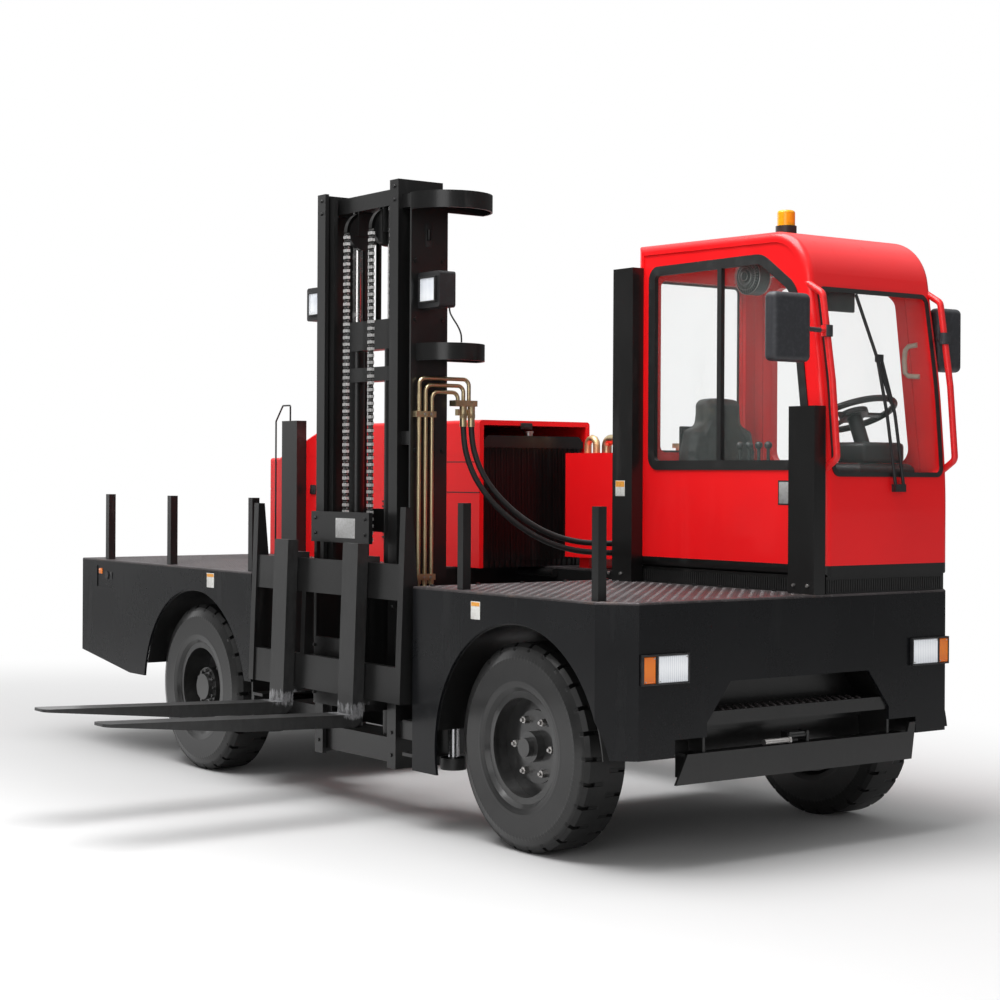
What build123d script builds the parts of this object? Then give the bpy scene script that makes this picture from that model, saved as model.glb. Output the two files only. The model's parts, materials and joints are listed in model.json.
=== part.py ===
from build123d import *
import math
import os

# Side loader forklift, in millimetres. +X points to the cab end, +Z up and -Y to the load side.
# Places are given in a layout frame: x = 0 on the front face, y = 0 on the load side skirt, z = 0 on the floor.
# The whole is then moved so that the origin lies on the floor below the middle of its box.

# Chassis along its length, from the front face to the tail
front_overhang = 655.0
arch_offset = 25.0
arch_radius = 556.0
front_leg = 170.0
well_length = 1413.0
rear_leg = 50.0
rear_overhang = 1310.0

# Chassis widths, heights and plates
chassis_width = 1940.0
far_beam_width = 290.0
arch_height = 365.0
deck_over_arch = 114.0
plate = 12.0
deck_plate = 10.0
deck_edge_radius = 7.0
deck_joint = 2.0
corner_chamfer = 118.0
leg_clearance = 249.0
skirt_clearance = 437.0
rear_leg_clearance = 503.0
tail_clearance = 522.0
rear_foot_length = 170.0
overrun = 20.0
seat_gap = 0.3

# Front panel with its notch and step opening
notch_inset = 300.0
notch_rise = 68.0
opening_top_inset = 586.0
opening_low_inset = 463.0
opening_rise = 278.0
opening_slant = 155.0
pocket_depth = 172.0
tread_rise = 110.0
tread_height = 53.0
bumper_inset = 306.0
bumper_slant = 58.0
bumper_drop = 107.0
bumper_top_drop = 8.0
bumper_depth = 60.0
bumper_end_rise = 39.0
bumper_end_length = 36.0
bumper_end_slant = 23.0
bumper_low_slant = 14.0
tow_pin_radius = 15.0
tow_pin_length = 120.0
tow_pin_gap = 30.0

# Frame beams
well_wall_clearance = 300.0
beam_clearance = 480.0
beam_width = 120.0
beam_height = 160.0
front_beam_drop = 305.0
rear_beam_drop = 265.0
beam_near_inset = 562.0
beam_end_inset = 190.0
cross_member_half = 100.0
liner_depth = 440.0
liner_plate = 6.0
pipe_bar_radius = 22.0
pipe_bar_drop = 32.0
pipe_bar_length = 300.0

# Reach rails
rail_height = 154.0
rail_depth = 94.0
rail_clearance = 300.0
rail_flange = 14.0

# Mast
mast_offset = 22.5
mast_front_y = 135.0
mast_depth = 240.0
mast_half_width = 348.0
mast_clearance = 200.0
mast_height = 2630.0
column_width = 70.0
column_wall = 20.0
slide_gap = 6.0
inner_wall = 18.0
inner_lip = 40.0
inner_rise = 140.0
inner_top_drop = 15.0
wear_pad = 5.5
wear_pad_inset = 4.0
cross_plate = 25.0
cross_top_drop = 30.0
cross_height = 110.0
cross_low_rise = 250.0
cross_mid_rise = 1150.0
cylinder_spacing = 152.0
cylinder_radius = 36.0
cylinder_bore = 28.0
ram_radius = 24.0
cylinder_length = 1890.0
tie_height = 135.0
tie_depth = 72.0
tie_drop = 215.0
low_tie_height = 65.0
crosshead_height = 72.0
crosshead_drop = 25.0

# Chains and their wheels
chain_spacing = 106.0
chain_width = 26.0
chain_thickness = 15.0
chain_wheel_radius = 80.0
chain_front_gap = 6.0
chain_wheel_drop = 195.0
wheel_cheek = 5.0
wheel_axle_radius = 14.0
chain_end_length = 440.0
chain_pitch = 31.0

# Mast side plate, hose guides, pipes and lamps
side_plate_gap = 80.0
side_plate_inset = 10.0
side_plate_depth = 195.0
side_plate_rise = 330.0
side_plate_top_drop = 70.0
bracket_height = 60.0
top_guide_radius = 200.0
low_guide_radius = 168.0
guide_height = 76.0
guide_shell = 8.0
low_guide_drop = 736.0
pipe_radius = 9.0
pipe_spacing = 34.0
pipe_first_inset = 40.0
pipe_gap = 14.0
pipe_bottom_rise = 820.0
pipe_top_rise = 1740.0
pipe_bend = 30.0
pipe_drop = 95.0
pipe_run_step = 30.0
pipe_run = 200.0
lamp_width = 170.0
lamp_depth = 85.0
lamp_height = 158.0
lamp_lens_inset = 26.0
lamp_lens_stand = 6.0
lamp_front_inset = 45.0
lamp_centre_rise = 2125.0
bulkhead_block = 26.0

# Carriage
cheek_inset = 200.0
cheek_plate = 22.0
cheek_front_y = 71.0
cheek_depth = 249.0
cheek_rise = 250.0
cheek_height = 630.0
carriage_roller_radius = 75.5
carriage_roller_width = 30.0
carriage_roller_gap = 18.0
stub_radius = 20.0
carriage_plate = 20.0
carriage_plate_half = 250.0
carriage_top_rise = 1000.0
carriage_top_height = 140.0
carriage_low_height = 310.0
lug_spacing = 180.0
lug_plate = 12.0
lug_half_gap = 18.0
lug_half_height = 35.0
pivot_radius = 15.0
pivot_clearance = 0.05
lug_run = 14.0

# Fork frame and forks
fork_frame_margin = 24.0
tilt_rest_deg = 1.9
tilt_pivot_y = 30.0
tilt_pivot_rise = 400.0
frame_bar = 40.0
frame_bar_height = 155.0
low_bar_rise = 325.0
bar_spacing = 443.0
guard_width = 42.0
guard_front = 48.0
guard_depth = 76.0
guard_top_depth = 33.0
guard_height = 845.0
guard_taper = 170.0
guard_shoulder = 500.0
fork_spacing = 303.0
fork_width = 125.0
fork_thickness = 55.0
fork_length = 1170.0
fork_stand_off = 98.0
fork_rise = 256.0
fork_shank = 749.0
fork_tip_thickness = 12.0
fork_taper_share = 0.55
fork_heel_radius = 50.0
fork_tip_radius = 30.0
hook_height = 27.0
hook_lip = 19.0

# Cab
cab_length = 1195.0
cab_width = 735.0
cab_side_inset = 100.0
cab_plinth = 70.0
plinth_inset = 15.0
cab_height = 1447.0
cab_wall = 45.0
cab_edge_radius = 32.0
panel_inset = 7.0
sill_rise = 400.0
roof_fall = 18.0
brow_inset = 137.0
brow_radius = 220.0
screen_mid_lean = 35.0
screen_mid_rise = 795.0
screen_round = 3000.0
screen_margin = 46.0
screen_top_drop = 267.0
screen_low_rise = 18.0
screen_corner = 30.0
window_rear_inset = 78.0
window_low_rise = 434.0
window_top_drop = 102.0
window_front_inset = 78.0
window_brow_run = 385.0
window_brow_drop = 250.0
window_corner = 60.0
window_brow_corner = 130.0
seal_width = 42.0
seal_stand = 5.0
seal_inner = 10.0
slider_width = 26.0
slider_inset = 468.0
pane = 6.0
door_rear_inset = 95.0
door_front_inset = 115.0
door_low_rise = 62.0
door_gap = 6.0
door_window_margin = 62.0
door_window_rise = 470.0
hinge_radius = 12.0
hinge_height = 60.0
hinge_low_rise = 150.0
hinge_high_rise = 1120.0
hinge_plate = 6.0
hinge_pin_radius = 5.0
hinge_lug = 8.0
hinge_lug_length = 42.0
rear_window_low_rise = 515.0
rear_window_top_drop = 150.0
rear_window_margin = 60.0
handle_radius = 10.0
handle_length = 160.0
handle_stand = 40.0
handle_rise = 330.0
handle_inset = 90.0

# Driver's seat, dash, steering wheel and levers
seat_rear_inset = 120.0
seat_width = 480.0
seat_depth = 480.0
seat_cushion = 110.0
seat_base_height = 260.0
seat_base_margin = 60.0
seat_back_depth = 100.0
seat_back_height = 380.0
seat_corner = 35.0
seat_side_inset = 150.0
dash_front_inset = 100.0
dash_depth = 200.0
dash_width = 330.0
dash_height = 420.0
dash_side_inset = 300.0
dash_corner = 30.0
column_radius = 32.0
column_length = 230.0
column_lean_deg = 22.0
wheel_radius = 178.0
wheel_rim_radius = 14.0
wheel_spoke = 12.0
wheel_spoke_width = 26.0
knob_radius = 20.0
knob_turn_deg = -70.0
rim_turn_deg = 30.0
lever_count = 4
lever_spacing = 58.0
lever_radius = 7.0
lever_height = 95.0
lever_knob_radius = 17.0
lever_box_length = 260.0
lever_box_width = 70.0
lever_box_height = 400.0
lever_inset = 640.0
fan_radius = 74.0
fan_depth = 60.0
fan_inset = 640.0
fan_drop = 120.0
inner_mirror_width = 190.0
inner_mirror_height = 95.0
inner_mirror_depth = 18.0

# Mirrors, wiper and beacon
mirror_tube_radius = 14.0
mirror_stand = 52.0
mirror_forward = 46.0
far_mirror_back = 84.0
mirror_high_drop = 240.0
mirror_low_rise = 430.0
mirror_bend = 30.0
mirror_width = 205.0
mirror_height = 275.0
mirror_depth = 70.0
mirror_corner = 24.0
mirror_out = 150.0
mirror_rise = 1000.0
clamp_radius = 24.0
clamp_height = 46.0
arm_radius = 10.0
far_mirror_width = 150.0
far_mirror_out = 10.0
wiper_radius = 7.0
wiper_stand = 16.0
wiper_pivot_inset = 345.0
wiper_pivot_spacing = 48.0
wiper_pivot_drop = 38.0
wiper_reach = 540.0
wiper_shift = 60.0
blade_above = 265.0
blade_below = 190.0
blade_shift = 85.0
beacon_inset = 450.0
beacon_side_inset = 205.0
beacon_base_radius = 45.0
beacon_base_height = 42.0
beacon_lens_radius = 38.0
beacon_lens_height = 68.0
beacon_sink = 7.0

# Deck posts
stake_size = 40.0
stake_height = 360.0
stake_edge = 30.0
front_stake_inset = 157.0
well_stake_inset = 308.0
rear_stake_inset = 67.0
middle_stake_inset = 937.0
tail_stake_inset = 255.0
post_depth = 64.0
post_web = 12.0
post_gap = 1.0
tall_post_inset = 70.0
tall_post_width = 138.0
tall_post_height = 1415.0
short_post_inset = 5.0
short_post_width = 148.0
short_post_height = 765.0
hood_post_width = 173.0
hood_post_inset = 256.0
hood_post_height = 787.0
post_wire_radius = 5.0
post_wire_out = 80.0
post_wire_rise = 90.0

# Hood, radiator, engine and oil tank
hood_width = 720.0
hood_side_inset = 20.0
hood_over_well = 219.0
hood_tail_inset = 10.0
hood_height = 760.0
hood_skirt = 80.0
hood_tail_drop = 187.0
hood_slope_start = 650.0
hood_slope_end = 90.0
hood_wall = 26.0
hood_corner = 18.0
hood_seam = 4.0
hood_seam_depth = 3.0
hood_seam_rise = 575.0
hood_low_seam_rise = 385.0
hood_seam_place = 300.0
radiator_depth = 90.0
radiator_side_gap = 34.0
radiator_core_height = 620.0
radiator_tank_height = 62.0
radiator_tank_chamfer = 30.0
radiator_set_back = 24.0
radiator_fin = 5.0
radiator_fin_pitch = 34.0
radiator_fin_depth = 8.0
engine_length = 950.0
engine_width = 460.0
engine_height = 585.0
engine_set_back = 400.0
engine_side_inset = 130.0
tank_length = 1130.0
tank_width = 260.0
tank_height = 538.0
tank_foot_height = 55.0
tank_foot_width = 80.0
tank_side_inset = 15.0
tank_front_gap = 46.0
tank_corner = 14.0
breather_radius = 35.0
breather_height = 45.0
elbow_radius = 26.0
elbow_rise = 70.0
elbow_run = 110.0

# Lamps in the front panel and the tail recess
front_lamp_drop = 206.0
front_lamp_height = 101.0
front_lamp_stand = 14.0
white_lamp_inset = 203.0
white_lamp_width = 151.0
amber_lamp_inset = 131.0
amber_lamp_width = 60.0
far_lamp_shift = 26.0
far_amber_shift = 18.0
tail_recess_inset = 190.0
tail_recess_width = 205.0
tail_recess_height = 115.0
tail_recess_drop = 26.0
tail_recess_depth = 4.0

# Running gear
tyre_radius = 420.0
tyre_width = 235.0
wheel_inset = 162.5
bead_radius = 226.0
bead_inset = 20.0
shoulder_radius = 360.0
shoulder_round = 16.0
sidewall_groove = 4.0
lug_count = 26
lug_groove = 17.0
lug_depth = 15.0
lug_length = 62.0
rim_wall = 14.0
rim_flange = 12.0
front_disc_out = 6.0
front_disc = 16.0
rear_disc_in = 45.0
hub_radius = 62.0
hub_out = 68.0
hub_in = 34.0
hub_cap_radius = 38.0
hub_cap_out = 26.0
nut_count = 6
nut_circle = 118.0
nut_radius = 15.0
nut_height = 20.0
drive_hub_radius = 98.0
drive_hub_out = 92.0
drive_hub_cap = 66.0
drive_bolt_count = 12
drive_bolt_circle = 82.0
drive_bolt_radius = 9.0
drive_bolt_height = 10.0
front_spindle = 28.0
rear_spindle = 45.0
spindle_clearance = 0.05
kingpin_inset = 300.0
kingpin_radius = 22.0
knuckle_half = 45.0
knuckle_half_height = 70.0
ear_gap = 5.0
ear_plate = 35.0
ear_reach = 70.0
ear_web = 25.0
axle_half = 60.0
axle_half_height = 65.0
pad_half = 90.0
drive_arm_radius = 68.0
drive_bowl_radius = 165.0
drive_arm_gap = 130.0
drive_stub = 110.0
spring_pad_inset = 10.0
spring_pad_width = 100.0
spring_pad_rise = 50.0

# Stabiliser jacks
jack_inset = 73.0
jack_y = 165.0
jack_foot_clearance = 250.0
jack_foot_radius = 56.0
jack_foot_height = 50.0
jack_rod_radius = 25.0
jack_rod_length = 520.0
jack_tube_gap = 2.0
jack_tube_wall = 12.0
jack_collar_radius = 54.0
jack_collar_height = 45.0
jack_collar_clearance = 440.0

# Hydraulic hoses between the mast and the cab
hose_radius = 13.0
gland_radius = 17.0
# Points (x, y, z) of each hose from the mast's bulkhead block to the back of the cab
low_hose_route = (
    (-1577, 413, 1773), (-1577, 413, 1690), (-1572, 430, 1588), (-1556, 476, 1478), (-1528, 555, 1374),
    (-1492, 662, 1282), (-1455, 785, 1210), (-1425, 915, 1170), (-1398, 1035, 1158), (-1373, 1130, 1156),
    (-1349, 1204, 1156), (-1298, 1240, 1156), (-1241, 1240, 1156),
)
high_hose_route = (
    (-1577, 457, 1773), (-1577, 457, 1690), (-1571, 476, 1592), (-1553, 523, 1486), (-1522, 600, 1388),
    (-1484, 700, 1302), (-1446, 815, 1240), (-1418, 935, 1208), (-1393, 1045, 1200), (-1370, 1135, 1199),
    (-1349, 1204, 1199), (-1298, 1240, 1199), (-1241, 1240, 1199),
)

# Places worked out from the driving dimensions
well_front = front_overhang - arch_offset + arch_radius + front_leg
well_rear = well_front + well_length
rear_axle = well_rear + rear_leg + arch_radius + arch_offset
chassis_length = rear_axle + rear_overhang
front_axle_x = -front_overhang
rear_axle_x = -rear_axle
far_side_y = chassis_width
well_depth = chassis_width - far_beam_width
deck_height = arch_height + arch_radius + deck_over_arch
deck_under = deck_height - deck_plate
mast_x = -(well_front + well_rear) / 2 + mast_offset
mast_bottom = mast_clearance
mast_top = mast_clearance + mast_height
mast_back_y = mast_front_y + mast_depth
fork_frame_half = well_length / 2 - mast_offset - fork_frame_margin
tilt_pivot_z = mast_bottom + tilt_pivot_rise
cab_far_y = far_side_y - cab_side_inset
cab_near_y = cab_far_y - cab_width
cab_base_z = deck_height + cab_plinth
cab_top_z = cab_base_z + cab_height
cab_sill_z = cab_base_z + sill_rise
hood_far_y = far_side_y - hood_side_inset
hood_near_y = hood_far_y - hood_width
hood_front_x = -well_rear + hood_over_well
hood_rear_x = -chassis_length + hood_tail_inset
hood_top_z = deck_height + hood_height
front_jack_x = -well_front + jack_inset
rear_jack_x = -well_rear - jack_inset
door_hinge_x = -cab_length + door_rear_inset + hinge_radius
door_hinge_y = cab_far_y - panel_inset + hinge_radius + seat_gap
chain_wheel_y = mast_front_y + chain_front_gap + chain_thickness + chain_wheel_radius
chain_wheel_z = mast_top - chain_wheel_drop
side_plate_x = mast_x + mast_half_width + side_plate_gap
mirror_z = cab_base_z + mirror_rise
bulkhead_z = mast_bottom + pipe_top_rise - pipe_drop

# Reach of the outermost pieces, which place the origin
mirror_reach = 65.0
far_reach = cab_far_y + far_mirror_out + far_mirror_width
fork_tip_reach = 1272.0
shift_x = (chassis_length - mirror_reach) / 2
shift_y = -(far_reach - fork_tip_reach) / 2


def block(x0, x1, y0, y1, z0, z1):
    """A box between two corners."""
    size = Box(x1 - x0, y1 - y0, z1 - z0, align=(Align.MIN, Align.MIN, Align.MIN))
    return Pos(x0, y0, z0) * size


def span(a, b):
    """Two places in rising order."""
    return min(a, b), max(a, b)


def rod_x(radius, x0, x1, y, z):
    """A round bar along X."""
    return Pos((x0 + x1) / 2, y, z) * Rot(0, 90, 0) * Cylinder(radius, abs(x1 - x0))


def rod_y(radius, y0, y1, x, z):
    """A round bar along Y."""
    return Pos(x, (y0 + y1) / 2, z) * Rot(90, 0, 0) * Cylinder(radius, abs(y1 - y0))


def rod_z(radius, z0, z1, x, y):
    """A round bar along Z."""
    return Pos(x, y, (z0 + z1) / 2) * Cylinder(radius, abs(z1 - z0))


def ring_z(outer, inner, z0, z1, x, y):
    """A tube along Z."""
    return rod_z(outer, z0, z1, x, y) - rod_z(inner, z0 - overrun, z1 + overrun, x, y)


def prism_y(points, y0, y1):
    """An outline of (x, z) points drawn out along Y."""
    outline = make_face(Polyline(*[(x, y0, z) for x, z in points], close=True))
    return extrude(outline, amount=y1 - y0, dir=(0, 1, 0))


def prism_x(points, x0, x1):
    """An outline of (y, z) points drawn out along X."""
    outline = make_face(Polyline(*[(x0, y, z) for y, z in points], close=True))
    return extrude(outline, amount=x1 - x0, dir=(1, 0, 0))


def prism_z(points, z0, z1):
    """An outline of (x, y) points drawn out along Z."""
    outline = make_face(Polyline(*[(x, y, z0) for x, y in points], close=True))
    return extrude(outline, amount=z1 - z0, dir=(0, 0, 1))


def tube_along(points, radius, bend):
    """A round bar along straight runs joined by arcs of one bend radius."""
    path = FilletPolyline(*points, radius=bend) if len(points) > 2 else Line(*points)
    return sweep(Plane(origin=path @ 0, z_dir=path % 0) * Circle(radius), path=path)


def soft_box(x0, x1, y0, y1, z0, z1, corner):
    """A box with all its edges rounded."""
    shape = block(x0, x1, y0, y1, z0, z1)
    return fillet(shape.edges(), corner)


def mirrored(shape):
    """The same piece on the far side of the chassis."""
    return mirror(shape, about=Plane.XZ.offset(-far_side_y / 2))


def both_ways(shape):
    """A piece and its mirror image about the middle of the mast."""
    return [shape, mirror(shape, about=Plane.YZ.offset(mast_x))]


def together(*shapes):
    """Pieces of one node that don't touch, as one compound."""
    solids = []
    for shape in shapes:
        solids.extend(shape.solids())
    return Compound(children=solids)


def wheel_arch(axle_x):
    """The round cutter of both wheel arches at one axle."""
    deep = wheel_inset + tyre_width
    near = rod_y(arch_radius, -overrun, deep, axle_x + arch_offset, arch_height)
    return near + mirrored(near)


def front_skirt():
    """Load side, front and far side walls of the front body, with arches and step opening."""
    notch_z = skirt_clearance + notch_rise
    half = chassis_width / 2
    outer = [
        (-well_front, 0), (-corner_chamfer, 0), (0, corner_chamfer), (0, half), (-well_front, half),
    ]
    chamfer_in = corner_chamfer + plate * (math.sqrt(2) - 1)
    inner = [
        (-well_front - overrun, plate), (-chamfer_in, plate), (-plate, chamfer_in),
        (-plate, half + overrun), (-well_front - overrun, half + overrun),
    ]
    wall = prism_z(outer, leg_clearance, deck_under) - prism_z(inner, leg_clearance - overrun, deck_height)
    wall -= rod_y(arch_radius, -overrun, 2 * corner_chamfer, front_axle_x + arch_offset, arch_height)
    wall -= block(front_axle_x, overrun, -overrun, half + overrun, 0, skirt_clearance)
    wall -= block(-corner_chamfer, overrun, notch_inset, half + overrun, 0, notch_z)
    opening_top = skirt_clearance + opening_rise
    step_cut = [
        (half + overrun, opening_top), (opening_top_inset, opening_top),
        (opening_low_inset, opening_top - opening_slant), (opening_low_inset, notch_z - overrun),
        (half + overrun, notch_z - overrun),
    ]
    wall -= prism_x(step_cut, -corner_chamfer, overrun)
    return wall + mirrored(wall)


def rear_skirt():
    """Load side, tail and far side walls of the rear body, with the tail lamp recess."""
    half = chassis_width / 2
    foot_x = rear_axle_x + arch_offset - arch_radius - rear_foot_length
    side = [
        (-well_rear, rear_leg_clearance), (-well_rear, deck_under), (-chassis_length, deck_under),
        (-chassis_length, tail_clearance), (foot_x, skirt_clearance), (rear_axle_x, skirt_clearance),
        (rear_axle_x, rear_leg_clearance),
    ]
    wall = prism_y(side, 0, plate)
    wall -= rod_y(arch_radius, -overrun, plate + overrun, rear_axle_x + arch_offset, arch_height)
    wall += block(-chassis_length, -chassis_length + plate, 0, half, tail_clearance, deck_under)
    wall += mirrored(wall)
    recess_x = -chassis_length + tail_recess_inset
    recess_top = deck_under - tail_recess_drop
    wall -= block(recess_x, recess_x + tail_recess_width, -overrun, tail_recess_depth,
                  recess_top - tail_recess_height, recess_top)
    return wall


def wheel_liner(axle_x, jack_x, side_end):
    """The bent mudguard plates inside the two arches of one axle, clear of the jack beside it."""
    x = axle_x + arch_offset
    outer = rod_y(arch_radius, plate + seat_gap, liner_depth, x, arch_height)
    outer -= rod_y(arch_radius - liner_plate, 0, liner_depth + overrun, x, arch_height)
    outer &= block(x - arch_radius, x + arch_radius, 0, liner_depth, skirt_clearance + side_end, deck_under)
    reach = jack_collar_radius + slide_gap
    outer -= block(jack_x - reach, jack_x + reach, 0, liner_depth + overrun, 0, deck_under)
    return together(outer, mirrored(outer))


def frame():
    """Well walls, far side beam, reach rails and the longitudinal beams of both bodies."""
    front_top = deck_height - front_beam_drop
    rear_top = deck_height - rear_beam_drop
    inside_y = far_side_y - plate
    whole = block(-well_front, -well_front + plate, plate, inside_y, well_wall_clearance, deck_under)
    whole += block(-well_rear - plate, -well_rear, plate, inside_y, well_wall_clearance, deck_under)
    whole += block(-well_rear, -well_front, well_depth, inside_y, beam_clearance, deck_under)
    whole -= wheel_arch(front_axle_x)
    whole -= wheel_arch(rear_axle_x)
    rail_top = rail_clearance + rail_height
    for face, way in ((-well_front, -1), (-well_rear, 1)):
        rail = block(*span(face, face + way * rail_depth), plate, well_depth, rail_clearance, rail_top)
        rail -= block(*span(face + way * rail_flange, face + way * (rail_depth + overrun)), 0,
                      well_depth + overrun, rail_clearance + rail_flange, rail_top - rail_flange)
        whole += rail
    near_y = beam_near_inset
    far_y = far_side_y - beam_near_inset - beam_width
    whole += block(front_axle_x - cross_member_half, front_axle_x + cross_member_half, near_y, far_y,
                   front_top - beam_height, front_top)
    for y in (near_y, far_y):
        whole += block(-well_front + plate, -beam_end_inset, y, y + beam_width, front_top - beam_height, front_top)
        whole += block(-chassis_length + plate, -well_rear - plate, y, y + beam_width,
                       rear_top - beam_height, rear_top)
    bar_z = deck_height - pipe_bar_drop
    bar_y = well_depth - pipe_bar_radius
    whole += rod_x(pipe_bar_radius, -well_rear, -well_rear + pipe_bar_length, bar_y, bar_z)
    return whole


def deck_edges(shape):
    """Round the outer top edges of a deck plate."""
    top = [edge for edge in shape.edges() if abs(edge.center().Z - deck_height) < seat_gap]
    outer = []
    for edge in top:
        middle = edge.center()
        if middle.Y < seat_gap or middle.Y > far_side_y - seat_gap or middle.X > -corner_chamfer:
            outer.append(edge)
    return fillet(outer, deck_edge_radius)


def deck_plates():
    """Checker plate decks of the front and rear bodies and the strip over the far side beam."""
    outline = [
        (-well_front, 0), (-corner_chamfer, 0), (0, corner_chamfer), (0, far_side_y - corner_chamfer),
        (-corner_chamfer, far_side_y), (-well_front, far_side_y),
    ]
    front = prism_z(outline, deck_under, deck_height)
    rear = block(-chassis_length, -well_rear, 0, far_side_y, deck_under, deck_height)
    strip = block(-well_rear + deck_joint, -well_front - deck_joint, well_depth, far_side_y, deck_under,
                  deck_height)
    return together(deck_edges(front), deck_edges(rear), deck_edges(strip))


def front_step():
    """Pocket and tread of the step in the front opening, and the bumper bar below it."""
    floor_z = skirt_clearance + notch_rise
    top = skirt_clearance + opening_rise
    slant_z = top - opening_slant
    far = far_side_y
    outer = [
        (opening_low_inset, floor_z), (opening_low_inset, slant_z), (opening_top_inset, top),
        (far - opening_top_inset, top), (far - opening_low_inset, slant_z), (far - opening_low_inset, floor_z),
    ]
    wrapped = [
        (opening_low_inset - plate, floor_z), (opening_low_inset - plate, slant_z), (opening_top_inset - plate, top + plate),
        (far - opening_top_inset + plate, top + plate), (far - opening_low_inset + plate, slant_z),
        (far - opening_low_inset + plate, floor_z),
    ]
    whole = prism_x(wrapped, -pocket_depth, -plate - seat_gap)
    whole -= prism_x(outer, -pocket_depth + plate, 0)
    whole -= block(-pocket_depth + plate, 0, opening_low_inset, far - opening_low_inset, floor_z - overrun, floor_z + overrun)
    tread_z = skirt_clearance + tread_rise
    whole += block(-pocket_depth + plate, -plate, opening_low_inset, far - opening_low_inset, tread_z,
                   tread_z + tread_height)
    low = skirt_clearance - bumper_drop
    high = skirt_clearance + bumper_top_drop
    end = far - notch_inset - seat_gap
    bumper = [
        (bumper_inset, low), (end - bumper_end_slant, low), (end, high + bumper_end_rise),
        (end - bumper_end_length, high + bumper_end_rise), (end - bumper_end_length - bumper_low_slant, high),
        (bumper_inset + bumper_slant, high),
    ]
    whole += prism_x(bumper, -plate, 0)
    whole += block(-bumper_depth, 0, bumper_inset + bumper_slant, far - bumper_inset - bumper_slant, high - plate, high)
    for y in (opening_low_inset - plate, far - opening_low_inset):
        whole += block(-pocket_depth, -plate - seat_gap, y, y + plate, low, floor_z + overrun)
    middle = far / 2
    for side in (-1, 1):
        y = middle + side * (tow_pin_length / 2 - plate)
        whole += block(-bumper_depth, -plate, y - plate / 2, y + plate / 2, high - overrun, high + tow_pin_gap + tow_pin_radius)
    whole += rod_y(tow_pin_radius, middle - tow_pin_length / 2, middle + tow_pin_length / 2, -bumper_depth / 2,
                   high + tow_pin_gap)
    return whole


def channel_post(x, width, y, top):
    """A pressed channel post with its open side to the rear, standing on the deck."""
    post = block(x - width / 2, x + width / 2, y - post_depth, y, deck_height, top)
    hollow = block(x - width / 2 + post_web, x + width / 2 - post_web, y - post_depth + post_web, y + overrun,
                   deck_height - overrun, top - post_web)
    return post - hollow


def deck_posts():
    """Square stakes on the deck edge, tall and short guard posts at the cab and one at the hood."""
    stakes = (
        -front_stake_inset, -well_front + well_stake_inset, -well_rear - rear_stake_inset,
        -well_rear - middle_stake_inset, -chassis_length + tail_stake_inset,
    )
    posts = []
    for x in stakes:
        posts.append(block(x - stake_size / 2, x + stake_size / 2, stake_edge, stake_edge + stake_size, deck_height,
                           deck_height + stake_height))
    tall_x = -well_front + tall_post_inset + tall_post_width / 2
    short_x = -short_post_inset - short_post_width / 2
    hood_x = -chassis_length + hood_post_inset + hood_post_width / 2
    beside_cab = cab_near_y - post_gap
    beside_hood = hood_near_y - post_gap
    posts.append(channel_post(tall_x, tall_post_width, beside_cab, deck_height + tall_post_height))
    posts.append(channel_post(short_x, short_post_width, beside_cab, deck_height + short_post_height))
    top = deck_height + hood_post_height
    hood_post = channel_post(hood_x, hood_post_width, beside_hood, top)
    wire_y = beside_hood - post_depth + post_web / 2
    left = hood_x - hood_post_width / 2
    wire = tube_along([
        (hood_x, wire_y, top - post_web), (hood_x, wire_y, top + post_wire_rise),
        (hood_x - hood_post_width / 2, wire_y, top + post_wire_rise), (left - post_wire_out, wire_y, top),
        (left - post_wire_out, wire_y, deck_height),
    ], post_wire_radius, 2 * post_wire_radius)
    posts.append(hood_post + wire)
    return together(*posts)


def jack_tubes():
    """The two hydraulic jack tubes beside the well, each with its gland collar."""
    inner = jack_rod_radius + jack_tube_gap
    outer = inner + jack_tube_wall
    low = jack_collar_clearance
    high = low + jack_collar_height
    tubes = []
    for x in (front_jack_x, rear_jack_x):
        tube = ring_z(outer, inner, low, deck_under - seat_gap, x, jack_y)
        tubes.append(tube + ring_z(jack_collar_radius, inner, low, high, x, jack_y)
                     + ring_z(inner, jack_rod_radius + seat_gap, low, high, x, jack_y))
    return together(*tubes)


def jack_rod(x):
    """One jack's chrome rod and round foot."""
    foot_top = jack_foot_clearance + jack_foot_height
    foot = rod_z(jack_foot_radius, jack_foot_clearance, foot_top, x, jack_y)
    return foot + rod_z(jack_rod_radius, foot_top, foot_top + jack_rod_length, x, jack_y)


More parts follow.
